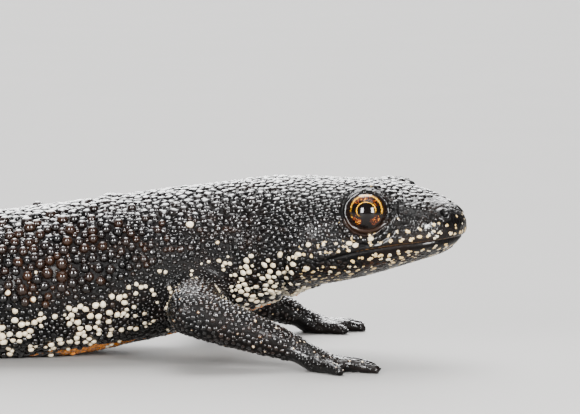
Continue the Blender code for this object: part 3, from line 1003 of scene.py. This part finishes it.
def classify(anatomy: Anatomy, s: Survey, loose: np.ndarray) -> np.ndarray:
    """Says which region each place lies in.

    Args:
        anatomy: the measured animal.
        s: a survey of the places.
        loose: a random number for each, about 0, that frays the borders between regions.

    Returns:
        The regions' values.
    """
    back, left, _ = s.head.T
    share = s.share + 0.05 * loose
    facing = s.normal[:, 2]  # 1 where the skin faces up
    trunk = s.among(anatomy, TRUNK)
    head = s.among(anatomy, FACE)
    neck = s.among(anatomy, ("neck",))
    tail = s.among(anatomy, TAIL)
    hand = s.among(anatomy, HANDS)
    lip = np.interp(back, (6.5, 10.0), (1.0, 0.14))
    roof = np.abs(anatomy.to_head(anatomy.eyes["eye_right"][None])[0, 1]) + 0.55 + 0.12 * loose
    lips = (back < 10.6) & (s.gape > (-1.05 + 0.15 * loose) * lip) & (s.gape < (1.05 + 0.25 * loose) * lip)
    cream_top = np.interp(s.along, (26, 30, 41), (0.60, 0.54, 0.40)) + 0.03 * loose
    orbit = head & (s.eye < anatomy.ORBIT)
    lid = orbit & (s.eye > anatomy.eye_radius) & (facing > 0.30) & (np.abs(left) < roof)
    pit = np.linalg.norm(anatomy.from_mark(s.head, anatomy.CHEEK_PIT) * (0.8, 1, 2.2), axis=1)
    cheek = head & (s.gape > -0.9) & (back < 12.3 + 0.5 * loose) & (facing < 0.42 + 0.1 * loose)
    rules = (
        (s.point[:, 2] < 0.25, Region.BARE),
        (hand & (facing < -0.3), Region.BARE),
        (hand, Region.HAND),
        (~trunk, Region.LIMB),
        (lid, Region.LID),
        (orbit | (head & (s.nostril < 0.55)), Region.BARE),
        (pit < 0.5, Region.BARE),
        (head & lips, Region.BARE),
        (head & (back < 13.0) & (s.gape < -0.9), Region.CHIN),
        (head & (back < 4.6 + loose), Region.SNOUT),
        (head & (facing > 0.72), Region.CROWN),
        (head & (s.gape > 0) & (back < 6.2 + 0.4 * loose), Region.SNOUT),
        (cheek, Region.CHEEK),
        ((head | neck) & (share < 0.46 + 0.04 * loose), Region.THROAT),
        (head & (facing > 0.45 + 0.1 * loose), Region.CROWN),
        (head, Region.TEMPLE),
        (neck & (share > 0.74), Region.NAPE),
        (neck, Region.TEMPLE),
        (tail & (share < 0.16), Region.BARE),
        (tail, Region.TAIL),
        (share < 0.05, Region.BELLY),
        ((s.along < 30) & (share > 0.80), Region.NAPE),
        (share > 0.87, Region.BACK),
        (share < cream_top, Region.LOWER_FLANK),
        (s.along < 28.0 + loose, Region.SHOULDER),
    )
    masks, regions = zip(*rules)
    return np.select(masks, [r.value for r in regions], Region.FLANK.value)


def waves(points: np.ndarray, size: float) -> np.ndarray:
    """Smooth noise between -1 and 1 at places, with features of this size."""
    return np.array([noise.noise(Vector(p)) for p in points / size])


@dataclass(frozen=True)
class Warts:
    """All the warts, as joined domes that stand on the skin."""

    NO_CREAM = 2.0  # a place beyond the top of any wart

    anatomy: Anatomy
    tries: int = 280000  # candidates that are sown
    seed: int = 11
    sowing: tuple = ((HEAD, 4.0), (("chest", "belly"), 2.0), (("hips",), 1.2), (TAIL, 0.9),
                     (("upper_arm", "forearm"), 1.6))  # how thickly, where the other solids have 1
    groups: tuple = (("warts_head", FACE), ("warts_neck", ("neck",)), ("warts_chest", ("chest",)),
                     ("warts_belly", ("belly",)), ("warts_hips", ("hips",)),
                     ("warts_tail_base", ("tail_base",)), ("warts_tail", ("tail_middle", "tail_tip")),
                     ("warts_arms", ("upper_arm", "forearm", "hand")),
                     ("warts_legs", ("thigh", "shin", "foot")))
    front: tuple = (*HEAD, "chest", "belly")  # where the domes are finer
    dark_scale: float = 0.88  # of the dark warts among the cream ones
    # Rows of flecks along the mouth: height above its line, chance and width.
    fleck_rows: tuple = ((0.60, 0.75, 0.24), (-0.66, 0.80, 0.22), (1.25, 0.22, 0.3), (-1.3, 0.15, 0.3))
    fleck_spacing: float = 0.50  # between the groups of flecks along the lips
    fleck_density: float = 0.6  # how many of the likely places start a group
    fleck_group: tuple = (3, 7)  # the fewest flecks in a group, and one more than the most
    fleck_spread: tuple = (0.16, 0.30)  # smallest and largest reach of a group from its middle
    eye_fleck_scale: float = 0.7  # of the flecks beside the eyes, which are smaller
    grain_widths: tuple = (0.34, 0.50)  # under which a wart is a plain grain, in front and elsewhere
    fine_bead_width: float = 0.60  # above which a bead in front has more sides
    height_luck: tuple = (0.78, 1.2)  # smallest and largest factors on a wart's height
    stretch_luck: tuple = (0.2, 1.6)  # smallest and largest powers of its stretch
    turn_luck: float = 0.35  # how much its long axis strays from the body's
    lean_luck: float = 0.05
    lobes: tuple = ((2, 0.09), (3, 0.07), (5, 0.04))  # of its outline: how many, how deep
    patch_reach: float = 0.0015  # from the middle of a wart's patch on its map to the patch's edge
    map_margin: float = 0.01  # kept free at both ends of the map
    lane_margin: float = 0.04  # and at both sides of each solid's lane on it

    def build(self, mesh: bpy.types.Mesh, skin: Survey) -> list[bpy.types.Object]:
        """Sows the warts on the skin and makes one object for each side of each group of solids.

        Args:
            mesh: the skin's mesh.
            skin: a survey of its vertices.

        Returns:
            The objects, without a material.
        """
        rng = np.random.default_rng(self.seed)
        s = self._sow(mesh, skin, rng)
        region = classify(self.anatomy, s, rng.normal(size=len(s.point)))
        width = self._draw_widths(region, s, rng)
        chosen = self._thin_out(s.point, region, width)
        flecks, fleck_widths = self._fleck_lips(s, rng)
        region[flecks], width[flecks] = Region.LIP.value, fleck_widths
        chosen = np.concatenate((chosen, flecks))
        s, region, width = s.at(chosen), region[chosen], width[chosen]
        LOG.info("%d warts", len(chosen))
        marks = self._markings(s, region, width, rng)
        on_left = s.on_left(self.anatomy)
        made = []
        for name, nodes in self.groups:
            for side, mask in (("right", ~on_left), ("left", on_left)):
                rows = np.flatnonzero(s.among(self.anatomy, nodes) & mask)
                made.append(self._join(f"{name}_{side}", s.at(rows), region[rows], width[rows],
                                       marks[rows], rng))
        return made

    def _sow(self, mesh: bpy.types.Mesh, skin: Survey, rng: np.random.Generator) -> Survey:
        """Scatters places over the skin, more thickly where the warts are finer.

        Args:
            mesh: the skin's mesh.
            skin: a survey of its vertices.
            rng: the source of chance.

        Returns:
            A survey of the places.
        """
        mesh.calc_loop_triangles()
        corners = np.empty(len(mesh.loop_triangles) * 3, np.int32)
        mesh.loop_triangles.foreach_get("vertices", corners)
        corners = corners.reshape(-1, 3)
        a, b, c = (skin.point[corners[:, k]] for k in range(3))
        weight = np.linalg.norm(np.cross(b - a, c - a), axis=1)
        for nodes, thickness in self.sowing:
            weight[skin.among(self.anatomy, nodes)[corners[:, 0]]] *= thickness
        picked = corners[rng.choice(len(weight), self.tries, p=weight / weight.sum())]
        share = rng.random((self.tries, 2))
        share = np.where(share.sum(1, keepdims=True) > 1, 1 - share, share)
        weights = np.stack((1 - share.sum(1), share[:, 0], share[:, 1]), axis=1)
        fields = {}
        for name in skin.__dataclass_fields__:
            rows = getattr(skin, name)[picked]
            if name == "owner":
                fields[name] = rows[:, 0]
            else:
                spread = weights if rows.ndim == 2 else weights[:, :, None]
                fields[name] = (rows * spread).sum(1)
        fields["normal"] = unit(fields["normal"])
        return Survey(**fields)

    @staticmethod
    def _draw_widths(region: np.ndarray, s: Survey, rng: np.random.Generator) -> np.ndarray:
        """Draws each candidate's width.

        Args:
            region: their regions.
            s: a survey of their places.
            rng: the source of chance.

        Returns:
            The widths, 0 where there are no warts.
        """
        width = np.zeros(len(region))
        luck = rng.random(len(region))
        for kind, mix in MIXES.items():
            rows = region == kind.value
            low, high = mix.widths
            width[rows] = low + (high - low) * luck[rows] ** mix.bias
        width *= np.interp(s.along, (66, 140), (1.0, 0.6))  # smaller towards the tip of the tail
        flank = np.isin(region, (Region.FLANK.value, Region.BACK.value, Region.LOWER_FLANK.value))
        width *= np.where(flank, np.interp(s.along, (27, 33), (0.66, 1.0)), 1)  # and by the shoulder
        return width * (1 + 0.22 * waves(s.point, 1.6))

    @staticmethod
    def _thin_out(point: np.ndarray, region: np.ndarray, width: np.ndarray) -> np.ndarray:
        """Keeps the candidates that don't crowd a larger one, largest first.

        Args:
            point: the candidates' places.
            region: their regions.
            width: their widths.

        Returns:
            The numbers of those kept.
        """
        packs = {kind.value: mix.pack for kind, mix in MIXES.items()}
        reach = width * np.array([packs.get(kind.value, 0) for kind in Region])[region]
        kept: list[int] = []
        for upper, lower in zip(SIZES, SIZES[1:]):
            rows = np.flatnonzero((width < upper) & (width >= lower))
            tree = kdtree.KDTree(max(len(kept), 1))
            for i in kept:
                tree.insert(point[i], i)
            tree.balance()
            widest = reach[kept].max() if kept else 0
            cell = 2 * reach[rows].max() if len(rows) else 1
            grid: dict[tuple, list[int]] = {}
            keys = (point[rows] // cell).astype(int)
            for i, (kx, ky, kz) in zip(rows, keys.tolist()):
                x, y, z = point[i]
                room = reach[i]
                near = [j for dx in (-1, 0, 1) for dy in (-1, 0, 1) for dz in (-1, 0, 1)
                        for j in grid.get((kx + dx, ky + dy, kz + dz), ())]
                if any((jx - x) ** 2 + (jy - y) ** 2 + (jz - z) ** 2 < (room + other) ** 2
                       for jx, jy, jz, other, _ in near):
                    continue
                larger = tree.find_range((x, y, z), room + widest) if kept else ()
                if any(gap < room + reach[j] for _, j, gap in larger):
                    continue
                grid.setdefault((kx, ky, kz), []).append((x, y, z, room, i))
            kept += [entry[-1] for entries in grid.values() for entry in entries]
        return np.array(sorted(kept))

    def _fleck_chance(self, s: Survey) -> np.ndarray:
        """How likely each candidate is to start a group of flecks.

        Args:
            s: a survey of the candidates.

        Returns:
            The chances.
        """
        back = s.head[:, 0]
        off_mouth = np.abs(s.gape)
        rows = sum(chance * bell(s.gape - height, width) for height, chance, width in self.fleck_rows)
        lips = rows * (back < 12.5) * (off_mouth > 0.24)
        snout = 0.06 * (back < 1.4) * (off_mouth > 0.3) * (s.gape < 1.9) * (s.nostril > 0.5)
        orbit = 0.05 * bell(s.eye - 2.55, 0.22) * (s.gape > 1.3)
        return np.maximum(np.maximum(lips, snout), orbit) * s.among(self.anatomy, FACE)

    def _fleck_lips(self, s: Survey, rng: np.random.Generator) -> tuple[np.ndarray, np.ndarray]:
        """Picks places for groups of small flat flecks along the lips and round the eyes.

        Args:
            s: a survey of the candidates.
            rng: the source of chance.

        Returns:
            The candidates picked, and their widths.
        """
        chance = self._fleck_chance(s)
        wanted = np.flatnonzero(rng.random(len(chance)) < chance * self.fleck_density)
        tree = kdtree.KDTree(len(wanted))
        for i in wanted:
            tree.insert(s.point[i], i)
        tree.balance()
        taken: set[int] = set()
        picked, widths = [], []
        low, high = MIXES[Region.LIP].widths
        for i in wanted:
            if i in taken:
                continue
            spread = rng.uniform(*self.fleck_spread)
            room = self.fleck_spacing * rng.uniform(0.8, 1.35)
            around = tree.find_range(s.point[i], room)
            taken.update(j for _, j, _ in around)
            group = [j for _, j, gap in around if gap < spread][: rng.integers(*self.fleck_group)]
            picked += [i, *(j for j in group if j != i)]
            by_eye = s.eye[i] < 3.0 and s.gape[i] > 1.2
            scale = self.eye_fleck_scale if by_eye else 1.0
            widths += list(rng.uniform(low, high, len(picked) - len(widths)) * scale)
        return np.array(picked), np.array(widths)

    def _markings(self, s: Survey, region: np.ndarray, width: np.ndarray,
                  rng: np.random.Generator) -> np.ndarray:
        """Draws the colouring of each wart, and narrows the dark ones among the cream ones.

        Args:
            s: a survey of their places.
            region: their regions.
            width: their widths, which it changes.
            rng: the source of chance.

        Returns:
            A row for each: its belly share, how far up its cream starts or NO_CREAM, and how brown it is.
        """
        luck = rng.random(len(region))
        start = np.full(len(region), self.NO_CREAM)
        brown = np.zeros(len(region))
        patches = waves(s.point + 40, 1.5)
        for kind, mix in MIXES.items():
            rows = np.flatnonzero(region == kind.value)
            middling = sum(mix.widths) / 2
            chance = mix.cream * rise(width[rows], middling * 0.55, middling * 0.95)
            if kind is Region.LOWER_FLANK:
                top = np.interp(s.along[rows], (28, 33, 40), (0.57, 0.46, 0.37))
                below = top - s.share[rows]
                chance *= 0.3 * rise(below, 0, 0.05) + 0.7 * rise(below, 0.04, 0.12)
                chance *= np.interp(s.along[rows], (28, 34), (0.55, 1.0))
            if kind is Region.FLANK:
                chance *= rise(-s.share[rows], -0.70, -0.55) * rise(-width[rows], -0.80, -0.70)
            if kind in (Region.LOWER_FLANK, Region.THROAT):
                chance *= 0.45 + 0.55 * rise(patches[rows], -0.25, 0.15)
            lit = rows[luck[rows] < chance]
            start[lit] = mix.tip + rng.normal(0, 0.08, len(lit))
            brown[rows] = mix.brown * rng.random(len(rows)) ** 1.3
            if kind in (Region.LOWER_FLANK, Region.THROAT):
                width[rows] *= np.where(start[rows] < 1, 1.0, self.dark_scale)
        return np.stack((belly_share(self.anatomy, s), start, brown), axis=1)

    def _shapes(self, region: np.ndarray, width: np.ndarray,
                front: np.ndarray) -> list[tuple[Dome, int, np.ndarray]]:
        """Says which warts take which dome.

        Args:
            region: their regions.
            width: their widths.
            front: whether they are on the front of the animal.

        Returns:
            Each dome with its number of sides and the warts that take it.
        """
        flat = np.isin(region, [kind.value for kind, mix in MIXES.items() if mix.flat])
        lip = region == Region.LIP.value
        small = (width < np.where(front, *self.grain_widths)) & ~lip
        large = front & (width > self.fine_bead_width)
        return [(Dome.GRAIN, 7, small), (Dome.SCALE, 10, flat & ~small), (Dome.BEAD, 12, ~flat & large),
                (Dome.BEAD, 10, ~flat & ~small & ~large)]

    def _join(self, name: str, s: Survey, region: np.ndarray, width: np.ndarray, marks: np.ndarray,
              rng: np.random.Generator) -> bpy.types.Object:
        """Makes one mesh of many domes.

        Args:
            name: of the object.
            s: a survey of the warts' places.
            region: their regions.
            width: their widths.
            marks: their belly share, start of cream, and how brown they are.
            rng: the source of chance.

        Returns:
            The object.
        """
        chart = self._unwrap(s)
        batches = []
        for dome, sides, mask in self._shapes(region, width, s.among(self.anatomy, self.front)):
            rows = np.flatnonzero(mask)
            if len(rows):
                batches.append(self._raise(dome, sides, s.at(rows), region[rows], width[rows],
                                           marks[rows], chart[rows], rng))
        counts = np.cumsum([0] + [len(b["point"]) for b in batches])
        faces = np.concatenate([b["faces"] + start for b, start in zip(batches, counts)])
        keys = ("point", "marks", "calm", "uv")
        point, spots, calm, uv = (np.concatenate([b[key] for b in batches]) for key in keys)
        mesh = bpy.data.meshes.new(name)
        mesh.vertices.add(len(point))
        mesh.vertices.foreach_set("co", (point * MM).ravel())
        mesh.loops.add(faces.size)
        mesh.loops.foreach_set("vertex_index", faces.ravel())
        mesh.polygons.add(len(faces))
        mesh.polygons.foreach_set("loop_start", np.arange(0, faces.size, 3))
        mesh.update(calc_edges=True)
        mesh.shade_smooth()
        write_marks(mesh, spots, calm)
        mesh.uv_layers.new(name="OFBake").data.foreach_set("uv", uv[faces.ravel()].ravel())
        LOG.info("%s: %d warts, %d triangles", name, len(width), len(faces))
        return put_in_scene(name, mesh)

    @staticmethod
    def prototype(dome: Dome, sides: int) -> tuple[np.ndarray, np.ndarray]:
        """Spins a dome's outline.

        Args:
            dome: the outline.
            sides: number of steps round it.

        Returns:
            Its vertices, with a radius and a height of 1, and its triangles.
        """
        bm = bmesh.new()
        rim = [bm.verts.new((r, 0, h)) for r, h in dome.value] + [bm.verts.new((0, 0, 1.0))]
        chain = [bm.edges.new(pair) for pair in zip(rim, rim[1:])]
        bmesh.ops.spin(bm, geom=rim + chain, cent=(0, 0, 0), axis=(0, 0, 1), angle=math.tau, steps=sides,
                       use_merge=True, use_duplicate=False)
        bmesh.ops.remove_doubles(bm, verts=bm.verts, dist=1e-4)
        bmesh.ops.recalc_face_normals(bm, faces=bm.faces)
        bmesh.ops.triangulate(bm, faces=bm.faces)
        bm.normal_update()
        if max(bm.faces, key=lambda f: f.calc_center_median().z).normal.z < 0:
            bmesh.ops.reverse_faces(bm, faces=bm.faces)
        bm.verts.index_update()
        verts = np.array([v.co for v in bm.verts])
        faces = np.array([[v.index for v in f.verts] for f in bm.faces])
        bm.free()
        return verts, faces

    def _raise(self, dome: Dome, sides: int, s: Survey, region: np.ndarray, width: np.ndarray,
               marks: np.ndarray, chart: np.ndarray, rng: np.random.Generator) -> dict[str, np.ndarray]:
        """Copies a dome to many places, each with its own size, lean and outline.

        Args:
            dome: the outline of the warts.
            sides: number of steps round them.
            s: a survey of their places.
            region: their regions.
            width: their widths.
            marks: their belly share, start of cream, and how brown they are.
            chart: their places on the map.
            rng: the source of chance.

        Returns:
            The vertices, triangles, markings, calm and map of all of them.
        """
        shape, faces = self.prototype(dome, sides)
        count, size = len(width), len(shape)
        height = of_mix(region, "height") * rng.uniform(*self.height_luck, count)
        stretch = of_mix(region, "stretch") ** rng.uniform(*self.stretch_luck, count)
        flow = np.array((1.0, 0, 0)) + rng.normal(0, self.turn_luck, (count, 3))
        along = unit(flow - s.normal * (flow * s.normal).sum(1, keepdims=True))
        normal = unit(s.normal + rng.normal(0, self.lean_luck, (count, 3)))
        across = unit(np.cross(normal, along))
        along = np.cross(across, normal)
        turn = np.arctan2(shape[:, 1], shape[:, 0])[None, :]
        phase = rng.uniform(0, math.tau, (count, len(self.lobes), 1))
        is_cream = marks[:, 1] < 0.6
        uneven = np.where(is_cream, 0.7, 0.35 if dome is Dome.BEAD else 1.2)[:, None]
        outline = 1 + uneven * sum(deep * np.sin(many * turn + phase[:, k])
                                   for k, (many, deep) in enumerate(self.lobes))
        radius = (width / 2)[:, None] * outline
        steps = (shape[None, :, 0] * radius * stretch[:, None] ** 0.5,
                 shape[None, :, 1] * radius / stretch[:, None] ** 0.5,
                 shape[None, :, 2] * (width * height)[:, None])
        point = s.point[:, None, :] + sum(way[:, None, :] * step[..., None]
                                          for way, step in zip((along, across, normal), steps))
        ragged = of_mix(region, "ragged")
        point += rng.normal(0, 1, point.shape) * (width * ragged)[:, None, None]
        point[..., 2] = np.maximum(point[..., 2], 0.0)
        tip = np.clip(np.tile(shape[:, 2], (count, 1)), 0, 1)
        fleck = np.clip((tip - marks[:, 1:2]) * 1.6, -1.0, 1.0)
        belly, brown = (np.tile(marks[:, k:k + 1], (1, size)) for k in (0, 2))
        # The film thins to nothing at the rim, which also paints each wart's base darker, as painted shade;
        # its top shines wet.
        film = of_mix(region, "film")[:, None] * rise(tip, 0.0, 0.5)
        calm = np.where(is_cream, 0.60, np.where(ragged < 0.02, 0.97, 0.72))
        uv = chart[:, None, :] + shape[None, :, :2] * self.patch_reach
        return {"point": point.reshape(-1, 3),
                "faces": (faces[None] + (np.arange(count) * size)[:, None, None]).reshape(-1, 3),
                "marks": np.stack((belly, fleck, brown, film), axis=2).reshape(-1, 4),
                "calm": np.repeat(calm, size),
                "uv": uv.reshape(-1, 2)}

    def _unwrap(self, s: Survey) -> np.ndarray:
        """Lays each place on a chart of its own solid, unrolled round the solid's long axis.

        Args:
            s: a survey of the places.

        Returns:
            A row of two for each, between 0 and 1.
        """
        chart = np.zeros((len(s.point), 2))
        owners = sorted(set(s.owner))
        lanes = len(owners)
        for lane, owner in enumerate(owners):
            rows = s.owner == owner
            low, high = (np.array(corner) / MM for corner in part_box(self.anatomy.flesh[owner]))
            local = s.point[rows] - (low + high) / 2
            long_axis = int(np.argmax(high - low))
            others = [k for k in range(3) if k != long_axis]
            around = np.arctan2(local[:, others[1]], local[:, others[0]]) / math.tau + 0.5
            run = local[:, long_axis] / (high - low)[long_axis] + 0.5
            chart[rows, 0] = self.map_margin + (1 - 2 * self.map_margin) * np.clip(run, 0, 1)
            chart[rows, 1] = (lane + self.lane_margin + (1 - 2 * self.lane_margin) * around) / lanes
        return chart


def belly_share(anatomy: Anatomy, s: Survey) -> np.ndarray:
    """Says how orange the skin is, before its blotches.

    Args:
        anatomy: the measured animal.
        s: a survey of the places.

    Returns:
        The shares: 1 under the tail, -2 where it is always dark.
    """
    share = np.full(len(s.share), -2.0)
    share = np.where(s.among(anatomy, BODY), 0.14 - 2.14 * rise(s.share, 0.02, 0.13), share)
    share = np.where(s.among(anatomy, TAIL), 1.0 - 3.0 * rise(s.share, 0.10, 0.30), share)
    chin = -0.1 - 1.9 * rise(s.gape, -2.6, -1.2)
    throat = 0.1 - 2.1 * rise(s.share, 0.03, 0.15)
    return np.where(s.among(anatomy, HEAD), np.where(s.head[:, 0] < 13, chin, throat), share)


def skin_marks(anatomy: Anatomy, s: Survey) -> np.ndarray:
    """Marks the skin between the warts.

    Args:
        anatomy: the measured animal.
        s: a survey of the skin's vertices.

    Returns:
        A row for each: how orange, the lip's pale edge, how brown and how wet, where a low wetness also
            darkens the colour as painted shade between the warts.
    """
    head = s.among(anatomy, FACE)
    back, _, height = s.head.T
    under_eye = rise(-s.eye, -anatomy.ORBIT, -2.0) * rise(-height, -12.4, -11.9)
    lips = 0.30 * bell(s.gape, 1.2) * rise(-back, -9.5, -6.0)
    brown = np.where(head, np.maximum(under_eye * 0.9, lips), 0.12)
    edge = bell(s.gape - 0.13, 0.10) * rise(-back, -9.5, -7.0) * head
    wet = bell(np.linalg.norm(anatomy.from_mark(s.head, anatomy.WET_SPOT), axis=1), 0.8) * head
    off_mouth = 1 - 0.9 * bell(s.gape + 0.25, 0.3)
    # The bare skin lies between the warts, and its thin film keeps its colour at charcoal there: painted shade
    # in the gaps.
    film = 0.07 + 0.28 * head * rise(-back, -10.0, -6.0) * off_mouth + 0.3 * s.among(anatomy, HANDS)
    shine_and_gap_shade = np.maximum(calm_share(anatomy, s) * 0.35, film) + wet * 0.8
    return np.stack((belly_share(anatomy, s), edge * 0.85 - 1.0, brown, shine_and_gap_shade), axis=1)


def write_marks(mesh: bpy.types.Mesh, rows: np.ndarray, calm: np.ndarray) -> None:
    """Stores the markings, and how calm the skin is, on a mesh.

    Args:
        mesh: the mesh.
        rows: the four markings of each vertex.
        calm: how smooth each vertex is.
    """
    marks = mesh.attributes.new(MARKS, "FLOAT_COLOR", "POINT")
    marks.data.foreach_set("color", rows.astype(np.float32).ravel())
    quiet = mesh.attributes.new(CALM, "FLOAT", "POINT")
    quiet.data.foreach_set("value", calm.astype(np.float32))


def calm_share(anatomy: Anatomy, s: Survey) -> np.ndarray:
    """Says how smooth the skin is.

    Args:
        anatomy: the measured animal.
        s: a survey of the places.

    Returns:
        The shares: LID_CALM on the lids, LIP_CALM along the lips and 0 elsewhere.
    """
    head = s.among(anatomy, FACE)
    lips = LIP_CALM * bell(s.gape, 0.9) * (s.head[:, 0] < 11.5)
    lids = LID_CALM * rise(-s.eye, -2.5, -2.1)
    return np.where(head, np.clip(np.maximum(lips, lids), 0, 1), 0)


# ---------------------------------------------------------------- eyes


@dataclass(frozen=True)
class Eye:
    """One eyeball, with a map for its iris."""

    MAP = "iris"
    MAP_SPAN = 4  # irises' radii across the whole map
    OFF_IRIS = 2.0  # where the back of the ball lies on the map

    name: str
    centre: np.ndarray
    look: np.ndarray
    radius: float
    iris_half_angle: float = 46.5
    segments: int = 64
    rings: int = 40
    sunk: float = 0.05  # how far the ball's surface lies inside the solid's
    cornea_start: float = 0.55  # share of the way to the pupil from which it bulges
    cornea_bulge: float = 0.10

    def build(self) -> bpy.types.Object:
        """Makes the eyeball, a little fuller at the cornea.

        Returns:
            Its object, without a material.
        """
        bm = bmesh.new()
        bmesh.ops.create_uvsphere(bm, u_segments=self.segments, v_segments=self.rings, radius=1.0)
        for vert in bm.verts:
            full = max(0.0, vert.co.z - self.cornea_start)
            vert.co *= (self.radius - self.sunk + self.cornea_bulge * full) * MM
        layer = bm.loops.layers.uv.new(self.MAP)
        rim = math.sin(math.radians(self.iris_half_angle)) * self.radius * MM
        for face in bm.faces:
            face.smooth = True
            for loop in face.loops:
                spot = loop.vert.co
                spread = spot.xy / rim if spot.z > 0 else spot.xy.normalized() * self.OFF_IRIS
                loop[layer].uv = (spread.x / self.MAP_SPAN + 0.5, spread.y / self.MAP_SPAN + 0.5)
        look = Vector(self.look)
        side = Vector((0, 0, 1)).cross(look).normalized()
        turn = Matrix((side, look.cross(side), look)).transposed().to_4x4()
        bmesh.ops.transform(bm, matrix=Matrix.Translation(Vector(self.centre) * MM) @ turn, verts=bm.verts)
        return put_in_scene(self.name, mesh_from(bm, self.name))


# ---------------------------------------------------------------- studio


@dataclass(frozen=True)
class Panel:
    """A soft light of one size, aimed at the animal's head."""

    name: str
    place: tuple
    size: tuple
    watts: float
    colour: tuple = (1.0, 1.0, 1.0)

    def build(self, target: Vector) -> None:
        """Makes the light.

        Args:
            target: what it faces, in metres.
        """
        light = bpy.data.lights.new(self.name, "AREA")
        light.shape = "RECTANGLE"
        light.size, light.size_y = (side * MM for side in self.size)
        light.energy = self.watts
        light.color = self.colour
        lamp = put_in_scene(self.name, light)
        lamp.location = target + Vector(self.place) * MM
        lamp.rotation_euler = (target - lamp.location).to_track_quat("-Z", "Y").to_euler()


@dataclass(frozen=True)
class Sky:
    """A wide, even light from far off, which reaches the whole floor."""

    name: str
    way: tuple  # towards the light
    width: float  # in degrees
    strength: float  # in watts per square metre

    def build(self) -> None:
        """Makes the light."""
        light = bpy.data.lights.new(self.name, "SUN")
        light.energy = self.strength
        light.angle = math.radians(self.width)
        put_in_scene(self.name, light).rotation_euler = Vector(self.way).to_track_quat("Z", "Y").to_euler()


@dataclass(frozen=True)
class Studio:
    """The floor, the lights and the camera."""

    distance: float = 300
    elevation: float = 5
    frame_width: float = 48.33  # of what the camera sees at the animal's middle
    snout_to_middle: float = 14.58  # from the snout's tip back to the middle of what it sees
    aim_height: float = 12.17
    ambience: float = 0.12
    floor_reach_m: float = 5.0
    floor_sides: int = 64
    floor_rings: int = 8  # outside its level middle
    flat_share: float = 0.4  # of the floor's reach, within which it is level
    rim_height_m: float = 0.15  # of the floor's far rim
    skies: tuple = (
        Sky("overcast", (-0.15, 0.45, 1.0), 80, 2.0),
        Sky("high_light", (-0.08, 0.45, 0.95), 40, 7.6),
        Sky("low_light", (-0.06, 1.0, 0.62), 50, 6.8),
    )
    panels: tuple = (
        Panel("front_box", (60, -420, 1100), (900, 460), 5.0),
        Panel("left_flash", (-85, -180, 60), (44, 88), 1.05),
        Panel("right_flash", (98, -175, 60), (44, 88), 1.05),
    )

    def build(self) -> None:
        """Makes the studio."""
        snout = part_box("head")[1].x
        low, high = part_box("chest")
        target = Vector((snout - self.snout_to_middle * MM, (low.y + high.y) / 2, self.aim_height * MM))
        for panel in self.panels:
            panel.build(target)
        for sky in self.skies:
            sky.build()
        self._floor()
        self._world()
        self._camera(target)

    def _floor(self) -> None:
        """A wide pale floor, whose far rim rises a little so that it fills the background."""
        bm = bmesh.new()
        flat = self.flat_share
        bmesh.ops.create_circle(bm, cap_ends=True, segments=self.floor_sides,
                                radius=self.floor_reach_m * flat)
        for share in np.linspace(flat, 1, self.floor_rings + 1)[1:]:
            made = bmesh.ops.extrude_edge_only(bm, edges=[e for e in bm.edges if e.is_boundary])
            rim = [v for v in made["geom"] if isinstance(v, bmesh.types.BMVert)]
            spread = self.floor_reach_m * share / rim[0].co.xy.length
            lift = self.rim_height_m * ((share - flat) / (1 - flat)) ** 2 - rim[0].co.z
            bmesh.ops.scale(bm, vec=(spread, spread, 1), verts=rim)
            bmesh.ops.translate(bm, vec=(0, 0, lift), verts=rim)
        mesh = mesh_from(bm, "floor")
        mesh.shade_smooth()
        mesh.materials.append(PaleFloor().material("pale_floor"))
        floor = put_in_scene("floor", mesh)

    def _world(self) -> None:
        """Even, weak light from all round."""
        world = bpy.data.worlds.new("studio")
        world.use_nodes = True
        background = world.node_tree.nodes["Background"]
        background.inputs["Color"].default_value = (0.95, 0.97, 1.0, 1)
        background.inputs["Strength"].default_value = self.ambience
        bpy.context.scene.world = world

    def _camera(self, target: Vector) -> None:
        """Sets up a camera on the animal's right, a little above it.

        Args:
            target: what it looks at, in metres.
        """
        data = bpy.data.cameras.new("camera")
        data.sensor_width = 36.0
        data.lens = data.sensor_width * self.distance / self.frame_width
        data.clip_start = 0.01
        camera = put_in_scene("camera", data)
        tilt = math.radians(self.elevation)
        camera.location = target + Vector((0, -math.cos(tilt), math.sin(tilt))) * self.distance * MM
        camera.rotation_euler = (math.pi / 2 - tilt, 0, 0)
        bpy.context.scene.camera = camera


# ---------------------------------------------------------------- putting it together


def dress(piece: bpy.types.Object, material: bpy.types.Material) -> None:
    """Gives a piece its material and its slot, and lets it ride on the only body.

    Args:
        piece: the piece.
        material: its material.
    """
    piece.data.materials.clear()
    piece.data.materials.append(material)
    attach(piece, "root")
    LOG.info("%s: %d faces", piece.name, len(piece.data.polygons))


def main() -> None:
    """Builds the newt and its studio."""
    logging.basicConfig(level=logging.INFO, format="%(message)s", stream=sys.stdout)
    anatomy = Anatomy(frame["nodes"])
    maker = Skin(anatomy)
    skin, survey = maker.build()
    write_marks(skin.data, skin_marks(anatomy, survey), calm_share(anatomy, survey))
    moist = MoistSkin()
    dress(skin, moist.material("moist_skin"))
    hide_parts(*anatomy.flesh)
    coat = moist.material("wart_skin")
    for piece in Warts(anatomy).build(skin.data, survey):
        dress(piece, coat)
    wet = WetEye().material("wet_eye")
    for name in EYES:
        ball = Eye(f"ball_{name}", anatomy.eyes[name], maker.look(name), anatomy.eye_radius).build()
        dress(ball, wet)
        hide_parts(name)
    Studio().build()


if __name__ == "__main__":
    main()
